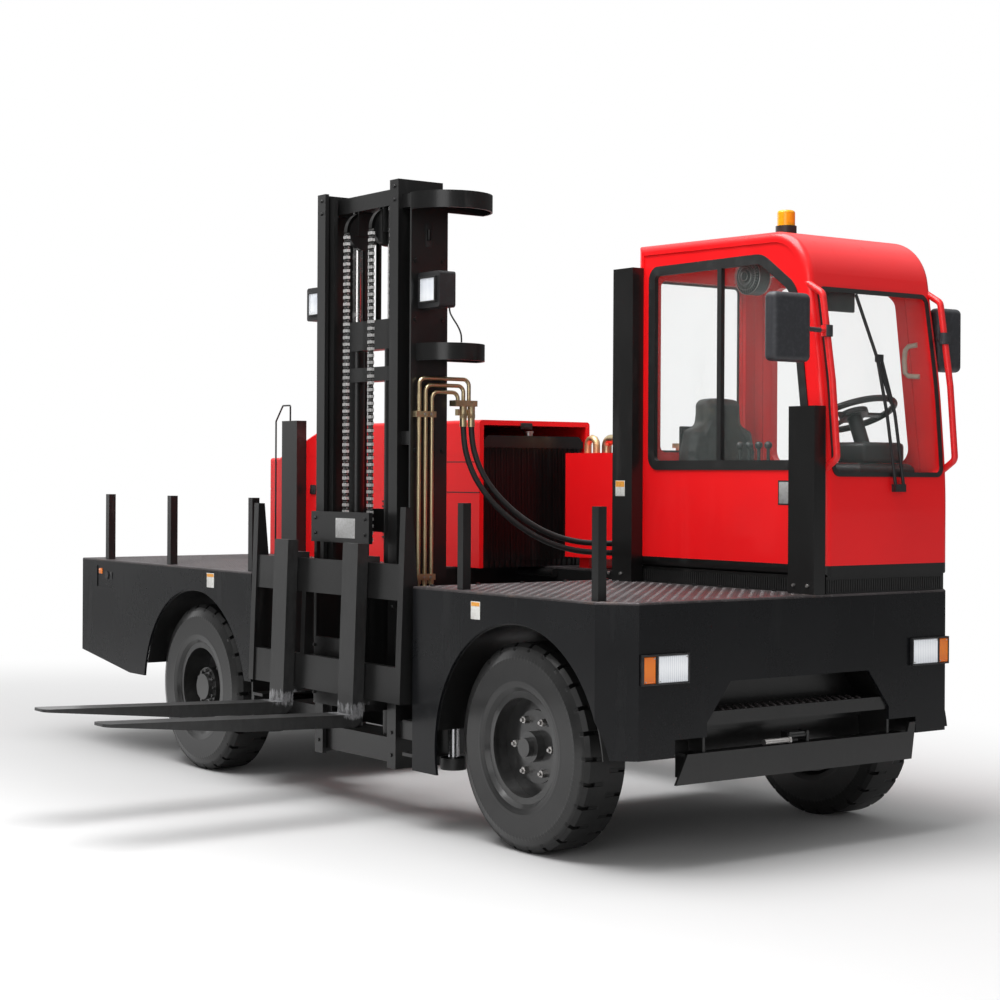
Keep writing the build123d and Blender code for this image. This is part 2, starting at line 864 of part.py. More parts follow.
def hood():
    """Engine hood: a shell open at the front, sloping down at the tail, with its panel seams."""
    tail_z = hood_top_z - hood_tail_drop
    slope_start = hood_rear_x + hood_slope_start
    slope_end = hood_rear_x + hood_slope_end
    w = hood_wall
    outline = [
        (hood_front_x, deck_height), (hood_front_x, hood_top_z), (slope_start, hood_top_z),
        (slope_end, tail_z), (hood_rear_x, tail_z), (hood_rear_x, deck_height),
    ]
    inner = [
        (hood_front_x + overrun, deck_height - overrun), (hood_front_x + overrun, hood_top_z - w),
        (slope_start, hood_top_z - w), (slope_end, tail_z - w), (hood_rear_x + w, tail_z - w),
        (hood_rear_x + w, deck_height - overrun),
    ]
    shell = prism_y(outline, hood_near_y, hood_far_y)
    long_edges = []
    for edge in shell.edges().filter_by(Axis.Y, reverse=True):
        middle = edge.center()
        if middle.Z > deck_height + w and hood_rear_x + 1 < middle.X < hood_front_x - 1:
            long_edges.append(edge)
    shell = fillet(long_edges, hood_corner)
    shell -= prism_y(inner, hood_near_y + w, hood_far_y - w)
    for rise, x1 in ((hood_seam_rise, hood_front_x), (hood_low_seam_rise, hood_front_x)):
        z = deck_height + rise
        for y0, y1 in ((hood_near_y - overrun, hood_near_y + hood_seam_depth),
                       (hood_far_y - hood_seam_depth, hood_far_y + overrun)):
            shell -= block(hood_rear_x - overrun, x1 + overrun, y0, y1, z, z + hood_seam)
    door_x = hood_front_x - hood_seam_place
    low_z, high_z = deck_height + hood_skirt, deck_height + hood_low_seam_rise
    for y0, y1 in ((hood_near_y - overrun, hood_near_y + hood_seam_depth),
                   (hood_far_y - hood_seam_depth, hood_far_y + overrun)):
        shell -= block(door_x - hood_seam, door_x, y0, y1, low_z, high_z)
    return shell


def radiator():
    """Radiator: finned core, side frame and a top tank with cut corners, inside the hood's mouth."""
    x1 = hood_front_x - radiator_set_back
    x0 = x1 - radiator_depth
    near, far = hood_near_y + radiator_side_gap, hood_far_y - radiator_side_gap
    core_top = deck_height + radiator_core_height
    top = core_top + radiator_tank_height
    whole = block(x0, x1 - radiator_fin_depth, near, far, deck_height, core_top)
    whole += block(x0, x1, near, near + radiator_fin_pitch, deck_height, core_top)
    whole += block(x0, x1, far - radiator_fin_pitch, far, deck_height, core_top)
    count = int((far - near) / radiator_fin_pitch) - 1
    for index in range(1, count):
        y = near + radiator_fin_pitch * (index + 1 / 2)
        whole += block(x1 - radiator_fin_depth, x1, y, y + radiator_fin, deck_height, core_top)
    cut = radiator_tank_chamfer
    tank = [
        (near, core_top), (far, core_top), (far, top - cut), (far - cut, top), (near + cut, top), (near, top - cut),
    ]
    return whole + prism_x(tank, x0, x1 + radiator_set_back / 2)


def engine():
    """The engine, as one plain block at its real place and size."""
    x1 = hood_front_x - engine_set_back
    y0 = hood_near_y + engine_side_inset
    return block(x1 - engine_length, x1, y0, y0 + engine_width, deck_height, deck_height + engine_height)


def tank_box():
    """Low corner and top of the oil tank."""
    x1 = -well_front + tank_front_gap
    y1 = far_side_y - tank_side_inset
    z0 = deck_height + tank_foot_height
    return x1 - tank_length, x1, y1 - tank_width, y1, z0, z0 + tank_height


def hydraulic_tank():
    """Oil tank on the far side beam, between the hood and the cab."""
    x0, x1, y0, y1, z0, z1 = tank_box()
    body = block(x0, x1, y0, y1, z0, z1)
    whole = fillet(body.edges().filter_by(Axis.Z), tank_corner)
    for x in (x0 + tank_foot_width, x1 - 2 * tank_foot_width):
        whole += block(x, x + tank_foot_width, y0 + tank_foot_width / 2, y1 - tank_foot_width / 2, deck_height, z0)
    return whole


def tank_fittings():
    """Filler breather, return elbow and suction pipe on the oil tank."""
    x0, x1, y0, y1, z0, z1 = tank_box()
    middle = (y0 + y1) / 2
    third = (x1 - x0) / 3
    breather = rod_z(breather_radius / 2, z1, z1 + breather_height / 2, x1 - third, middle)
    breather += rod_z(breather_radius, z1 + breather_height / 2, z1 + breather_height, x1 - third, middle)
    low_x = x0 + third / 2
    elbow = tube_along([
        (low_x, middle, z1), (low_x, middle, z1 + elbow_rise), (low_x + elbow_run, middle, z1 + elbow_rise),
        (low_x + elbow_run, middle, z1),
    ], elbow_radius, elbow_rise / 2)
    riser = rod_z(elbow_radius / 2, z1, z1 + 2 * elbow_rise, low_x + 2 * elbow_run, middle)
    riser += rod_z(elbow_radius, z1, z1 + elbow_radius, low_x + 2 * elbow_run, middle)
    return together(breather, elbow, riser)


def screen_x(z):
    """Front face of the windscreen pillars at a height."""
    middle_z = cab_base_z + screen_mid_rise
    top_z = cab_top_z - roof_fall
    if z < cab_sill_z:
        return 0.0
    if z < middle_z:
        return -screen_mid_lean * (z - cab_sill_z) / (middle_z - cab_sill_z)
    return -screen_mid_lean - (brow_inset - screen_mid_lean) * (z - middle_z) / (top_z - middle_z)


def cab_face(inset):
    """Side outline of the cab, moved in by an inset: upright back, round brow, raked and bowed screen."""
    corners = [
        (-cab_length, 0, cab_top_z), (-brow_inset, 0, cab_top_z - roof_fall),
        (-screen_mid_lean, 0, cab_base_z + screen_mid_rise), (0, 0, cab_sill_z), (0, 0, cab_base_z),
    ]
    rear_foot = (-cab_length, 0, cab_base_z)
    bow = FilletPolyline(*corners, radius=[brow_radius, screen_round, screen_round])
    face = make_face(Line(rear_foot, corners[0]) + bow + Line(corners[-1], rear_foot))
    return offset(face, -inset, kind=Kind.INTERSECTION) if inset else face


def cab_prism(inset, y0, y1):
    """The cab's side outline drawn out between two planes."""
    return extrude(Pos(0, y0, 0) * cab_face(inset), amount=y1 - y0, dir=(0, 1, 0))


def cab_form():
    """Outer form of the cab as one solid with rounded side edges."""
    outer = cab_prism(0, cab_near_y, cab_far_y)
    ends = outer.edges().group_by(Axis.Y)
    return fillet(ends[0] + ends[-1], cab_edge_radius)


def window_outline():
    """Corner points and radii of the side window opening."""
    rear = -cab_length + window_rear_inset
    low = cab_base_z + window_low_rise
    top = cab_top_z - window_top_drop
    corner_z = cab_top_z - window_brow_drop
    points = [
        (rear, low), (rear, top), (-window_brow_run, top), (screen_x(corner_z) - window_front_inset, corner_z),
        (-window_front_inset, low),
    ]
    return points, [window_corner, window_corner, window_brow_corner, window_brow_corner, window_corner]


def round_prism_y(points, radii, y0, y1, inset=0.0):
    """An outline of (x, z) points with round corners drawn out along Y, moved in by an inset."""
    wire = FilletPolyline(*[(x, y0, z) for x, z in points], radius=radii, close=True)
    face = make_face(wire)
    if inset:
        face = offset(face, -inset, kind=Kind.INTERSECTION)
    return extrude(face, amount=y1 - y0, dir=(0, 1, 0))


def round_prism_x(y0, y1, z0, z1, corner, x0, x1):
    """A rectangle with round corners drawn out along X."""
    wire = FilletPolyline((x0, y0, z0), (x0, y1, z0), (x0, y1, z1), (x0, y0, z1), radius=corner, close=True)
    return extrude(make_face(wire), amount=x1 - x0, dir=(1, 0, 0))


def cab_side_panel():
    """Load side wall of the cab, set in from the pillars, with its window opening."""
    y0, y1 = cab_near_y + panel_inset, cab_near_y + cab_wall
    points, radii = window_outline()
    return cab_prism(cab_wall, y0, y1) - round_prism_y(points, radii, y0 - overrun, y1 + overrun)


def door_outline(inset):
    """Corner points of the door leaf: upright rear edge, front edge along the screen pillar."""
    rear = -cab_length + door_rear_inset + inset
    low = cab_base_z + door_low_rise + inset
    top = cab_top_z - window_top_drop - inset
    corner_z = cab_top_z - window_brow_drop - inset / 2
    front = -door_front_inset - inset
    return [
        (rear, low), (rear, top), (-window_brow_run - inset / 2, top), (screen_x(corner_z) + front, corner_z),
        (front, cab_sill_z), (front, low),
    ]


def screen_opening(x0, x1, grow):
    """The windscreen opening as a bar along X, grown by a margin."""
    return round_prism_x(cab_near_y + screen_margin - grow, cab_far_y - screen_margin + grow,
                         cab_sill_z + screen_low_rise - grow, cab_top_z - screen_top_drop + grow,
                         screen_corner + grow, x0, x1)


def rear_opening(x0, x1, grow):
    """The rear window opening as a bar along X, grown by a margin."""
    margin = cab_wall + rear_window_margin - grow
    return round_prism_x(cab_near_y + margin, cab_far_y - margin, cab_base_z + rear_window_low_rise - grow,
                         cab_top_z - rear_window_top_drop + grow, screen_corner + grow, x0, x1)


def cab_parts():
    """Floor, front, rear, roof and far side frame of the cab."""
    shell = cab_form() - cab_prism(cab_wall, cab_near_y - overrun, cab_far_y + overrun)
    near, far = cab_near_y - overrun, cab_far_y + overrun
    back_x = -cab_length + cab_wall
    floor_top = cab_base_z + cab_wall
    roof_under = cab_top_z - cab_wall
    floor = shell & block(-cab_length - overrun, overrun, near, far, cab_base_z - overrun, floor_top)
    floor += block(-cab_length + plinth_inset, -plinth_inset, cab_near_y + plinth_inset, cab_far_y - plinth_inset,
                   deck_height, cab_base_z)
    front = shell & block(-cab_length / 2, overrun, near, far, floor_top, cab_sill_z)
    rear = shell & block(-cab_length - overrun, back_x, near, far, floor_top, roof_under)
    rear -= rear_opening(-cab_length - overrun, back_x + overrun, 0)
    roof = shell & block(back_x, overrun, near, far, cab_sill_z, cab_top_z + overrun)
    roof += shell & block(-cab_length - overrun, back_x, near, far, roof_under, cab_top_z + overrun)
    roof -= screen_opening(-cab_length / 3, overrun, 0)
    y0, y1 = cab_far_y - cab_wall, cab_far_y - panel_inset
    far_frame = cab_prism(cab_wall, y0, y1) - prism_y(door_outline(0), y0 - overrun, y1 + overrun)
    for rise in (hinge_low_rise, hinge_high_rise):
        z = cab_base_z + rise
        far_frame += rod_z(hinge_pin_radius, z - hinge_lug, z + hinge_height + hinge_lug, door_hinge_x, door_hinge_y)
        low_lug = block(door_hinge_x - hinge_lug_length, door_hinge_x - hinge_radius - hinge_plate, y1, door_hinge_y,
                        z - hinge_lug, z - seat_gap)
        low_lug += block(door_hinge_x - hinge_lug_length, door_hinge_x + hinge_pin_radius,
                         door_hinge_y - hinge_pin_radius, door_hinge_y + hinge_pin_radius, z - hinge_lug, z - seat_gap)
        far_frame += low_lug + Pos(0, 0, hinge_height + hinge_lug + seat_gap) * low_lug
    return floor, front, rear, roof, far_frame


def cab_door():
    """Door leaf in the far side of the cab, hinged at its rear edge."""
    y0, y1 = cab_far_y - cab_wall, cab_far_y - panel_inset
    door = prism_y(door_outline(door_gap), y0, y1)
    points = door_window_outline()
    door -= round_prism_y(points, window_corner, y0 - overrun, y1 + overrun)
    for rise in (hinge_low_rise, hinge_high_rise):
        z = cab_base_z + rise
        door += rod_z(hinge_radius, z, z + hinge_height, door_hinge_x, door_hinge_y)
        door += block(door_hinge_x, door_hinge_x + hinge_height, y1, y1 + hinge_plate, z, z + hinge_height)
        door -= rod_z(hinge_pin_radius + pivot_clearance, z, z + hinge_height, door_hinge_x, door_hinge_y)
    handle_x = -door_front_inset - handle_inset
    handle_z = cab_base_z + handle_rise
    out = y1 + handle_stand
    door += tube_along([
        (handle_x - handle_length, y1 - plate, handle_z), (handle_x - handle_length, out, handle_z),
        (handle_x, out, handle_z), (handle_x, y1 - plate, handle_z),
    ], handle_radius, 2 * handle_radius)
    return door


def door_window_outline():
    """Corner points of the door's window."""
    m = door_window_margin
    outline = door_outline(m)
    low = cab_base_z + door_window_rise
    return [(outline[0][0], low), *outline[1:4], (screen_x(low) - door_front_inset - m, low)]


def door_glass():
    """Pane of the cab door with its rubber frame."""
    y = cab_far_y - (cab_wall + panel_inset) / 2
    return round_prism_y(door_window_outline(), window_corner, y - pane / 2, y + pane / 2)


def cab_glass():
    """Windscreen, side window and rear window panes."""
    depth = (cab_wall - pane) / 2
    layer = cab_prism(depth, cab_near_y, cab_far_y) - cab_prism(depth + pane, cab_near_y - overrun, cab_far_y + overrun)
    screen = layer & screen_opening(-cab_length / 3, overrun, 0)
    points, radii = window_outline()
    y = cab_near_y + (cab_wall + panel_inset) / 2
    side = round_prism_y(points, radii, y - pane / 2, y + pane / 2)
    rear = rear_opening(-cab_length + depth, -cab_length + depth + pane, 0)
    return together(screen, side, rear)


def window_seals():
    """Black rubber frames round the side window, the windscreen and the rear window."""
    points, radii = window_outline()
    y1 = cab_near_y + panel_inset
    y0 = y1 - seal_stand
    ring = round_prism_y(points, radii, y0, y1)
    ring -= round_prism_y(points, radii, y0 - overrun, y1 + overrun, inset=seal_width)
    glass_y = cab_near_y + (cab_wall + panel_inset) / 2 - pane / 2
    inner = round_prism_y(points, radii, y1, glass_y)
    ring += inner - round_prism_y(points, radii, y0 - overrun, glass_y + overrun, inset=seal_width)
    rear, low = points[0]
    top = points[1][1]
    bar_x = rear + slider_inset - slider_width / 2
    ring += block(bar_x, bar_x + slider_width, y0, glass_y, low + seal_width / 2, top - seal_width / 2)
    front = cab_prism(-seal_stand, cab_near_y, cab_far_y) - cab_prism(0, cab_near_y - overrun, cab_far_y + overrun)
    reach = (-cab_length / 3, overrun)
    front &= screen_opening(*reach, seal_inner) - screen_opening(*reach, -seal_inner)
    back_x = -cab_length
    back = rear_opening(back_x - seal_stand, back_x, seal_inner)
    back -= rear_opening(back_x - 2 * seal_stand, back_x + seal_stand, -seal_inner)
    return together(ring, front, back)


def seat():
    """Driver's seat: sprung base, cushion and back."""
    x0 = -cab_length + cab_wall + seat_rear_inset
    y0 = cab_near_y + seat_side_inset
    y1 = y0 + seat_width
    floor_top = cab_base_z + cab_wall
    base_top = floor_top + seat_base_height
    m = seat_base_margin
    base = block(x0 + m, x0 + seat_depth - m, y0 + m, y1 - m, floor_top, base_top)
    cushion = soft_box(x0, x0 + seat_depth, y0, y1, base_top, base_top + seat_cushion, seat_corner)
    back = soft_box(x0 - seat_back_depth - seat_gap, x0 - seat_gap, y0, y1, base_top,
                    base_top + seat_cushion + seat_back_height, seat_corner)
    return together(base + cushion, back)


def steering_column():
    """Dash, leaning column and steering wheel with its knob."""
    x1 = -dash_front_inset
    x0 = x1 - dash_depth
    y0 = cab_near_y + dash_side_inset
    middle = y0 + dash_width / 2
    floor_top = cab_base_z + cab_wall
    top = floor_top + dash_height
    dash = block(x0, x1, y0, y0 + dash_width, floor_top, top)
    dash = fillet(dash.edges().filter_by(Axis.Z, reverse=True).group_by(Axis.Z)[-1], dash_corner)
    lean = Pos((x0 + x1) / 2, middle, top - dash_corner) * Rot(0, -column_lean_deg, 0)
    length = column_length + dash_corner
    section = Pos(wheel_radius, 0, length) * Rot(90, 0, 0) * Circle(wheel_rim_radius)
    wheel = Rot(0, 0, rim_turn_deg) * revolve(section, Axis.Z, 360)
    wheel += Pos(0, 0, length) * Box(wheel_spoke_width, 2 * wheel_radius, wheel_spoke)
    wheel += Pos(0, 0, length / 2) * Cylinder(column_radius, length)
    wheel += Pos(0, 0, length) * Cylinder(2 * column_radius, 2 * wheel_spoke)
    wheel += Pos(-wheel_radius / 2, 0, length) * Box(wheel_radius, wheel_spoke_width, wheel_spoke)
    knob_z = length + wheel_rim_radius + 2 * knob_radius
    wheel += Rot(0, 0, knob_turn_deg) * rod_z(lever_radius, length, knob_z, wheel_radius, 0)
    wheel += Rot(0, 0, knob_turn_deg) * Pos(wheel_radius, 0, knob_z) * Sphere(knob_radius)
    return dash + lean * wheel


def cab_controls():
    """Lever bank, ceiling fan and inner mirror."""
    x1 = -lever_inset + lever_box_length
    y0 = cab_near_y + cab_wall + seat_gap
    floor_top = cab_base_z + cab_wall
    top = floor_top + lever_box_height
    levers = block(-lever_inset, x1, y0, y0 + lever_box_width, floor_top, top)
    middle = y0 + lever_box_width / 2
    for index in range(lever_count):
        x = -lever_inset + lever_spacing * (index + 3 / 4)
        levers += rod_z(lever_radius, top, top + lever_height, x, middle)
        levers += Pos(x, middle, top + lever_height) * Sphere(lever_knob_radius)
    roof_under = cab_top_z - cab_wall - roof_fall * (cab_length - fan_inset) / (cab_length - brow_inset)
    fan_y = cab_near_y + cab_wall + 2 * fan_radius
    fan_z = roof_under - fan_drop
    fan = rod_y(fan_radius, fan_y - fan_depth / 2, fan_y + fan_depth / 2, -fan_inset, fan_z)
    fan += rod_z(lever_radius, fan_z, roof_under - seat_gap, -fan_inset, fan_y)
    glass_y = cab_near_y + cab_wall + inner_mirror_width
    stalk_z = cab_top_z - screen_top_drop + lever_radius
    glass_top = stalk_z + lever_radius
    header_x = screen_x(glass_top) - cab_wall - seat_gap
    glass_x = header_x - inner_mirror_depth
    inner = soft_box(glass_x - inner_mirror_depth, glass_x, glass_y - inner_mirror_width / 2,
                     glass_y + inner_mirror_width / 2, glass_top - inner_mirror_height, glass_top,
                     inner_mirror_depth / 3)
    inner += rod_x(lever_radius - seat_gap, glass_x - inner_mirror_depth / 2, header_x - seat_gap, glass_y, stalk_z)
    return together(levers, fan, inner)


def mirror_tube(y):
    """Bowed tube down a front pillar that carries a mirror."""
    high = cab_top_z - mirror_high_drop
    low = cab_base_z + mirror_low_rise
    middle = cab_base_z + screen_mid_rise
    out = mirror_stand
    return tube_along([
        (screen_x(high) - cab_edge_radius, y, high), (screen_x(high - out) + out, y, high - out),
        (screen_x(middle) + out, y, middle), (screen_x(low + out) + out, y, low + out),
        (screen_x(low) - cab_edge_radius, y, low),
    ], mirror_tube_radius, mirror_bend)


def mirrors():
    """Two outer mirrors on bowed tubes at the cab's front pillars."""
    form = cab_form()
    tube_x = screen_x(mirror_z) + mirror_stand
    pieces = []
    # side of the cab, way out from it, place of the housing before the tube, its width, gap beside the cab
    for side_y, way, ahead, width, out in ((cab_near_y, -1, mirror_forward, mirror_width, mirror_out),
                                           (cab_far_y, 1, -far_mirror_back, far_mirror_width, far_mirror_out)):
        y = side_y - way * mirror_tube_radius
        carrier = mirror_tube(y) + rod_z(clamp_radius, mirror_z - clamp_height / 2, mirror_z + clamp_height / 2, tube_x, y)
        x = tube_x + ahead
        near_y, far_y = span(side_y + way * out, side_y + way * (out + width))
        carrier += tube_along([(tube_x, y, mirror_z), (x, side_y + way * (out + mirror_corner), mirror_z)], arm_radius, 0)
        carrier -= form
        carrier += soft_box(x - mirror_depth / 2, x + mirror_depth / 2, near_y, far_y, mirror_z - mirror_height / 2,
                            mirror_z + mirror_height / 2, mirror_corner)
        pieces.append(carrier)
    return together(*pieces)


def wiper():
    """Twin arm windscreen wiper, parked upright."""
    pivot_y = cab_far_y - wiper_pivot_inset
    pivot_z = cab_sill_z - wiper_pivot_drop
    head_z = pivot_z + wiper_reach
    head_x = screen_x(head_z) + wiper_stand
    head_y = pivot_y - wiper_shift
    whole = block(-wiper_stand, wiper_stand + wiper_radius, pivot_y - wiper_radius,
                  pivot_y + wiper_pivot_spacing + wiper_radius, pivot_z - wiper_stand, pivot_z + wiper_stand)
    whole -= cab_form()
    for step in (0, wiper_pivot_spacing):
        foot = (wiper_stand, pivot_y + step, pivot_z)
        knee = (screen_x(cab_sill_z + wiper_reach / 2) + wiper_stand, pivot_y + step - wiper_shift / 2,
                cab_sill_z + wiper_reach / 2)
        head = (head_x, head_y + step / 2, head_z)
        whole += tube_along([foot, knee, head], wiper_radius, wiper_reach / 2)
    whole += block(head_x - wiper_radius, head_x + wiper_radius, head_y - wiper_radius,
                   head_y + wiper_pivot_spacing / 2 + wiper_radius, head_z - wiper_stand, head_z + wiper_stand)
    top_z = head_z + blade_above
    low_z = head_z - blade_below
    whole += tube_along([
        (screen_x(low_z) + wiper_stand, head_y + blade_shift * blade_below / blade_above, low_z), (head_x, head_y, head_z),
        (screen_x(top_z) + wiper_stand, head_y - blade_shift, top_z),
    ], wiper_radius, wiper_reach)
    return whole


def beacon():
    """Amber flashing beacon on its black base."""
    y = cab_near_y + beacon_side_inset
    base_z = cab_top_z - beacon_sink
    lens_z = base_z + beacon_base_height
    top_z = lens_z + beacon_lens_height
    lens = rod_z(beacon_lens_radius, lens_z, top_z, -beacon_inset, y)
    lens = fillet(lens.edges().group_by(Axis.Z)[-1], beacon_lens_radius / 3)
    base = rod_z(beacon_base_radius, base_z - cab_wall / 2, lens_z, -beacon_inset, y) - cab_form()
    return base + lens


def lamp_pair(inset, width, far_shift):
    """One lamp on each side of the front panel, with rounded front edges."""
    z1 = deck_height - front_lamp_drop
    lamps = []
    for y0 in (inset, far_side_y - inset - width + far_shift):
        lamp = block(0, front_lamp_stand, y0, y0 + width, z1 - front_lamp_height, z1)
        lamps.append(fillet(lamp.edges().group_by(Axis.X)[-1], front_lamp_stand / 3))
    return together(*lamps)


def knuckle(y, way):
    """One steering knuckle: kingpin, hub block and stub spindle; way is -1 on the load side."""
    z = tyre_radius
    half, high = knuckle_half, knuckle_half_height
    body = block(front_axle_x - half, front_axle_x + half, y - half, y + half, z - high, z + high)
    pin = high + ear_gap + ear_plate
    body += rod_z(kingpin_radius, z - pin, z + pin, front_axle_x, y)
    wheel_y = wheel_inset if way < 0 else far_side_y - wheel_inset
    return body + rod_y(front_spindle, *span(y + way * half, wheel_y + way * hub_in), front_axle_x, z)


def steer_axle():
    """Front axle beam with its two fork ends round the kingpins."""
    z = tyre_radius
    near = kingpin_inset + ear_reach
    x0, x1 = front_axle_x - axle_half, front_axle_x + axle_half
    middle = far_side_y / 2
    whole = block(x0, x1, near, middle, z - axle_half_height, z + axle_half_height)
    pad_top = deck_height - front_beam_drop - beam_height
    whole += block(x0, x1, middle - pad_half, middle, z, pad_top)
    low_ear = knuckle_half_height + ear_gap
    high_ear = low_ear + ear_plate
    for z0, z1 in ((z + low_ear, z + high_ear), (z - high_ear, z - low_ear)):
        whole += block(x0, x1, kingpin_inset - knuckle_half, near, z0, z1)
    whole += block(x0, x1, near, near + ear_web, z - high_ear, z + high_ear)
    whole -= rod_z(kingpin_radius + pivot_clearance, z - 2 * high_ear, z + 2 * high_ear, front_axle_x, kingpin_inset)
    return whole + mirrored(whole)


def drive_axle():
    """Rear axle housing with its differential bowl and round arms."""
    z = tyre_radius
    near = wheel_inset + drive_arm_gap
    middle = far_side_y / 2
    housing = rod_y(drive_arm_radius, near, far_side_y - near, rear_axle_x, z)
    housing += Pos(rear_axle_x, middle, z) * Sphere(drive_bowl_radius)
    arm = rod_y(rear_spindle, near - drive_stub, near, rear_axle_x, z)
    y0 = beam_near_inset + spring_pad_inset
    arm += block(rear_axle_x - axle_half, rear_axle_x + axle_half, y0, y0 + spring_pad_width, z + spring_pad_rise,
                 deck_height - rear_beam_drop - beam_height)
    return housing + arm + mirrored(arm)


def tyre(axle_x, y):
    """Tyre ring with rounded shoulders and open shoulder grooves between the lugs."""
    half = tyre_width / 2
    edge = tyre_radius - shoulder_round
    profile = [
        (bead_radius, -half + bead_inset), (bead_radius + shoulder_round, -half + sidewall_groove),
        (bead_radius + 2 * bead_inset, -half), (shoulder_radius, -half), (edge, -half + shoulder_round),
        (tyre_radius, -half + 2 * shoulder_round),
    ]
    section = profile + [(r, -s) for r, s in reversed(profile)]
    ring = make_face(Polyline(*[(r, s, 0) for r, s in section], close=True))
    body = revolve(ring, Axis((0, 0, 0), (0, 1, 0)), 360)
    groove = Pos(tyre_radius, -half, 0) * Box(2 * lug_depth, 2 * lug_length, lug_groove)
    cutters = []
    for index in range(lug_count):
        turn = 360 / lug_count * index
        cutters.append(Rot(0, turn, 0) * groove)
        cutters.append(Rot(0, turn + 180 / lug_count, 0) * Pos(0, 0, 0) * mirror(groove, about=Plane.XZ))
    body -= cutters
    return Pos(axle_x, y, tyre_radius) * body


def rim_band():
    """The rolled rim band about the Y axis, with a flange at both edges."""
    half = tyre_width / 2 - bead_inset
    band = bead_radius - seat_gap
    lip = band - rim_wall
    section = [
        (band, -half), (band, half), (lip - rim_flange, half), (lip - rim_flange, half - rim_flange), (lip, half - rim_flange),
        (lip, -half + rim_flange), (lip - rim_flange, -half + rim_flange), (lip - rim_flange, -half),
    ]
    face = make_face(Polyline(*[(r, s, 0) for r, s in section], close=True))
    return revolve(face, Axis((0, 0, 0), (0, 1, 0)), 360)


def ring_of(shape, count):
    """Copies of a piece set evenly about the Y axis."""
    return [Rot(0, 360 / count * index, 0) * shape for index in range(count)]


def front_rim():
    """Front rim with its dished disc, hub, cap and wheel nuts, facing -Y about the origin."""
    low = -front_disc_out - front_disc
    disc = rod_y(bead_radius - rim_wall / 2, low, -front_disc_out, 0, 0)
    dish = rod_y(nut_circle + 2 * nut_radius, low - front_disc / 2, low, 0, 0)
    hub = rod_y(hub_radius, -hub_out, hub_in, 0, 0) + rod_y(hub_cap_radius, -hub_out - hub_cap_out, -hub_out, 0, 0)
    nut_face = low - front_disc / 2
    nut = Pos(nut_circle, nut_face - nut_height / 2, 0) * Rot(90, 0, 0) * extrude(
        RegularPolygon(nut_radius, 6), amount=nut_height / 2, both=True)
    whole = rim_band() + disc + dish + hub
    whole += ring_of(nut, nut_count)
    return whole - rod_y(front_spindle + spindle_clearance, -hub_out + hub_cap_out / 2, hub_in + overrun, 0, 0)


def rear_rim():
    """Rear rim with its deep dish and bolted drive hub, facing -Y about the origin."""
    disc = rod_y(bead_radius - rim_wall / 2, rear_disc_in, rear_disc_in + front_disc, 0, 0)
    hub = rod_y(drive_hub_radius, -drive_hub_cap, rear_disc_in + front_disc, 0, 0)
    hub += rod_y(drive_hub_radius * 2 / 3, -drive_hub_out, -drive_hub_cap, 0, 0)
    bolt = rod_y(drive_bolt_radius, -drive_hub_cap - drive_bolt_height, -drive_hub_cap, drive_bolt_circle, 0)
    whole = rim_band() + disc + hub
    whole += ring_of(bolt, drive_bolt_count)
    stub = drive_stub - drive_arm_gap
    return whole - rod_y(rear_spindle + spindle_clearance, stub - overrun, rear_disc_in + front_disc + overrun, 0, 0)


def placed_rim(rim, axle_x, y, way):
    """A rim at its axle; way is 1 on the far side, where it is turned round."""
    turned = rim if way < 0 else Rot(0, 0, 180) * rim
    return Pos(axle_x, y, tyre_radius) * turned


def mast_channel(side, outer, inner, y0, y1, wall, z0, z1):
    """One upright channel of the mast that opens towards the middle."""
    upright = block(*span(mast_x + side * outer, mast_x + side * inner), y0, y1, z0, z1)
    hollow = block(*span(mast_x + side * (outer - wall), mast_x + side * (inner - overrun)), y0 + wall, y1 - wall,
                   z0 - overrun, z1 + overrun)
    return upright - hollow


def half_round_guide(radius, z0):
    """Half round hose guide on the mast's side plate: a top plate with a rim."""
    y = mast_front_y + side_plate_inset + side_plate_depth
    face_x = side_plate_x + plate
    z1 = z0 + guide_height
    disc = rod_z(radius, z0, z1, face_x, y) - rod_z(radius - guide_shell, z0 - overrun, z1 - guide_shell, face_x, y)
    half = disc & block(face_x, face_x + 2 * radius, y - 2 * radius, y + 2 * radius, z0 - overrun, z1 + overrun)
    back = block(face_x - plate, face_x, y, y + radius, z0, z1)
    return half + back


def outer_mast():
    """Outer mast: two channels that open inwards, cross members, side plate and hose guides."""
    outer, inner = mast_half_width, mast_half_width - column_width
    whole = mast_channel(-1, outer, inner, mast_front_y, mast_back_y, column_wall, mast_bottom, mast_top)
    whole += mast_channel(1, outer, inner, mast_front_y, mast_back_y, column_wall, mast_bottom, mast_top)
    top = mast_top - cross_top_drop
    for z1, height in ((top, cross_height), (mast_bottom + cross_mid_rise, cross_height),
                       (mast_bottom + cross_low_rise + cross_height, cross_height)):
        whole += block(mast_x - outer, mast_x + outer, mast_back_y, mast_back_y + cross_plate, z1 - height, z1)
    y0 = mast_front_y + side_plate_inset
    y1 = y0 + side_plate_depth
    low, high = mast_bottom + side_plate_rise, mast_top - side_plate_top_drop
    whole += block(side_plate_x, side_plate_x + plate, y0, y1, low, high)
    for z in (low, (low + high) / 2, high - bracket_height):
        whole += block(mast_x + outer, side_plate_x, y0 + plate, y1 - plate, z, z + bracket_height)
    whole += half_round_guide(top_guide_radius, high - guide_height)
    whole += half_round_guide(low_guide_radius, mast_top - low_guide_drop - guide_height)
    return whole


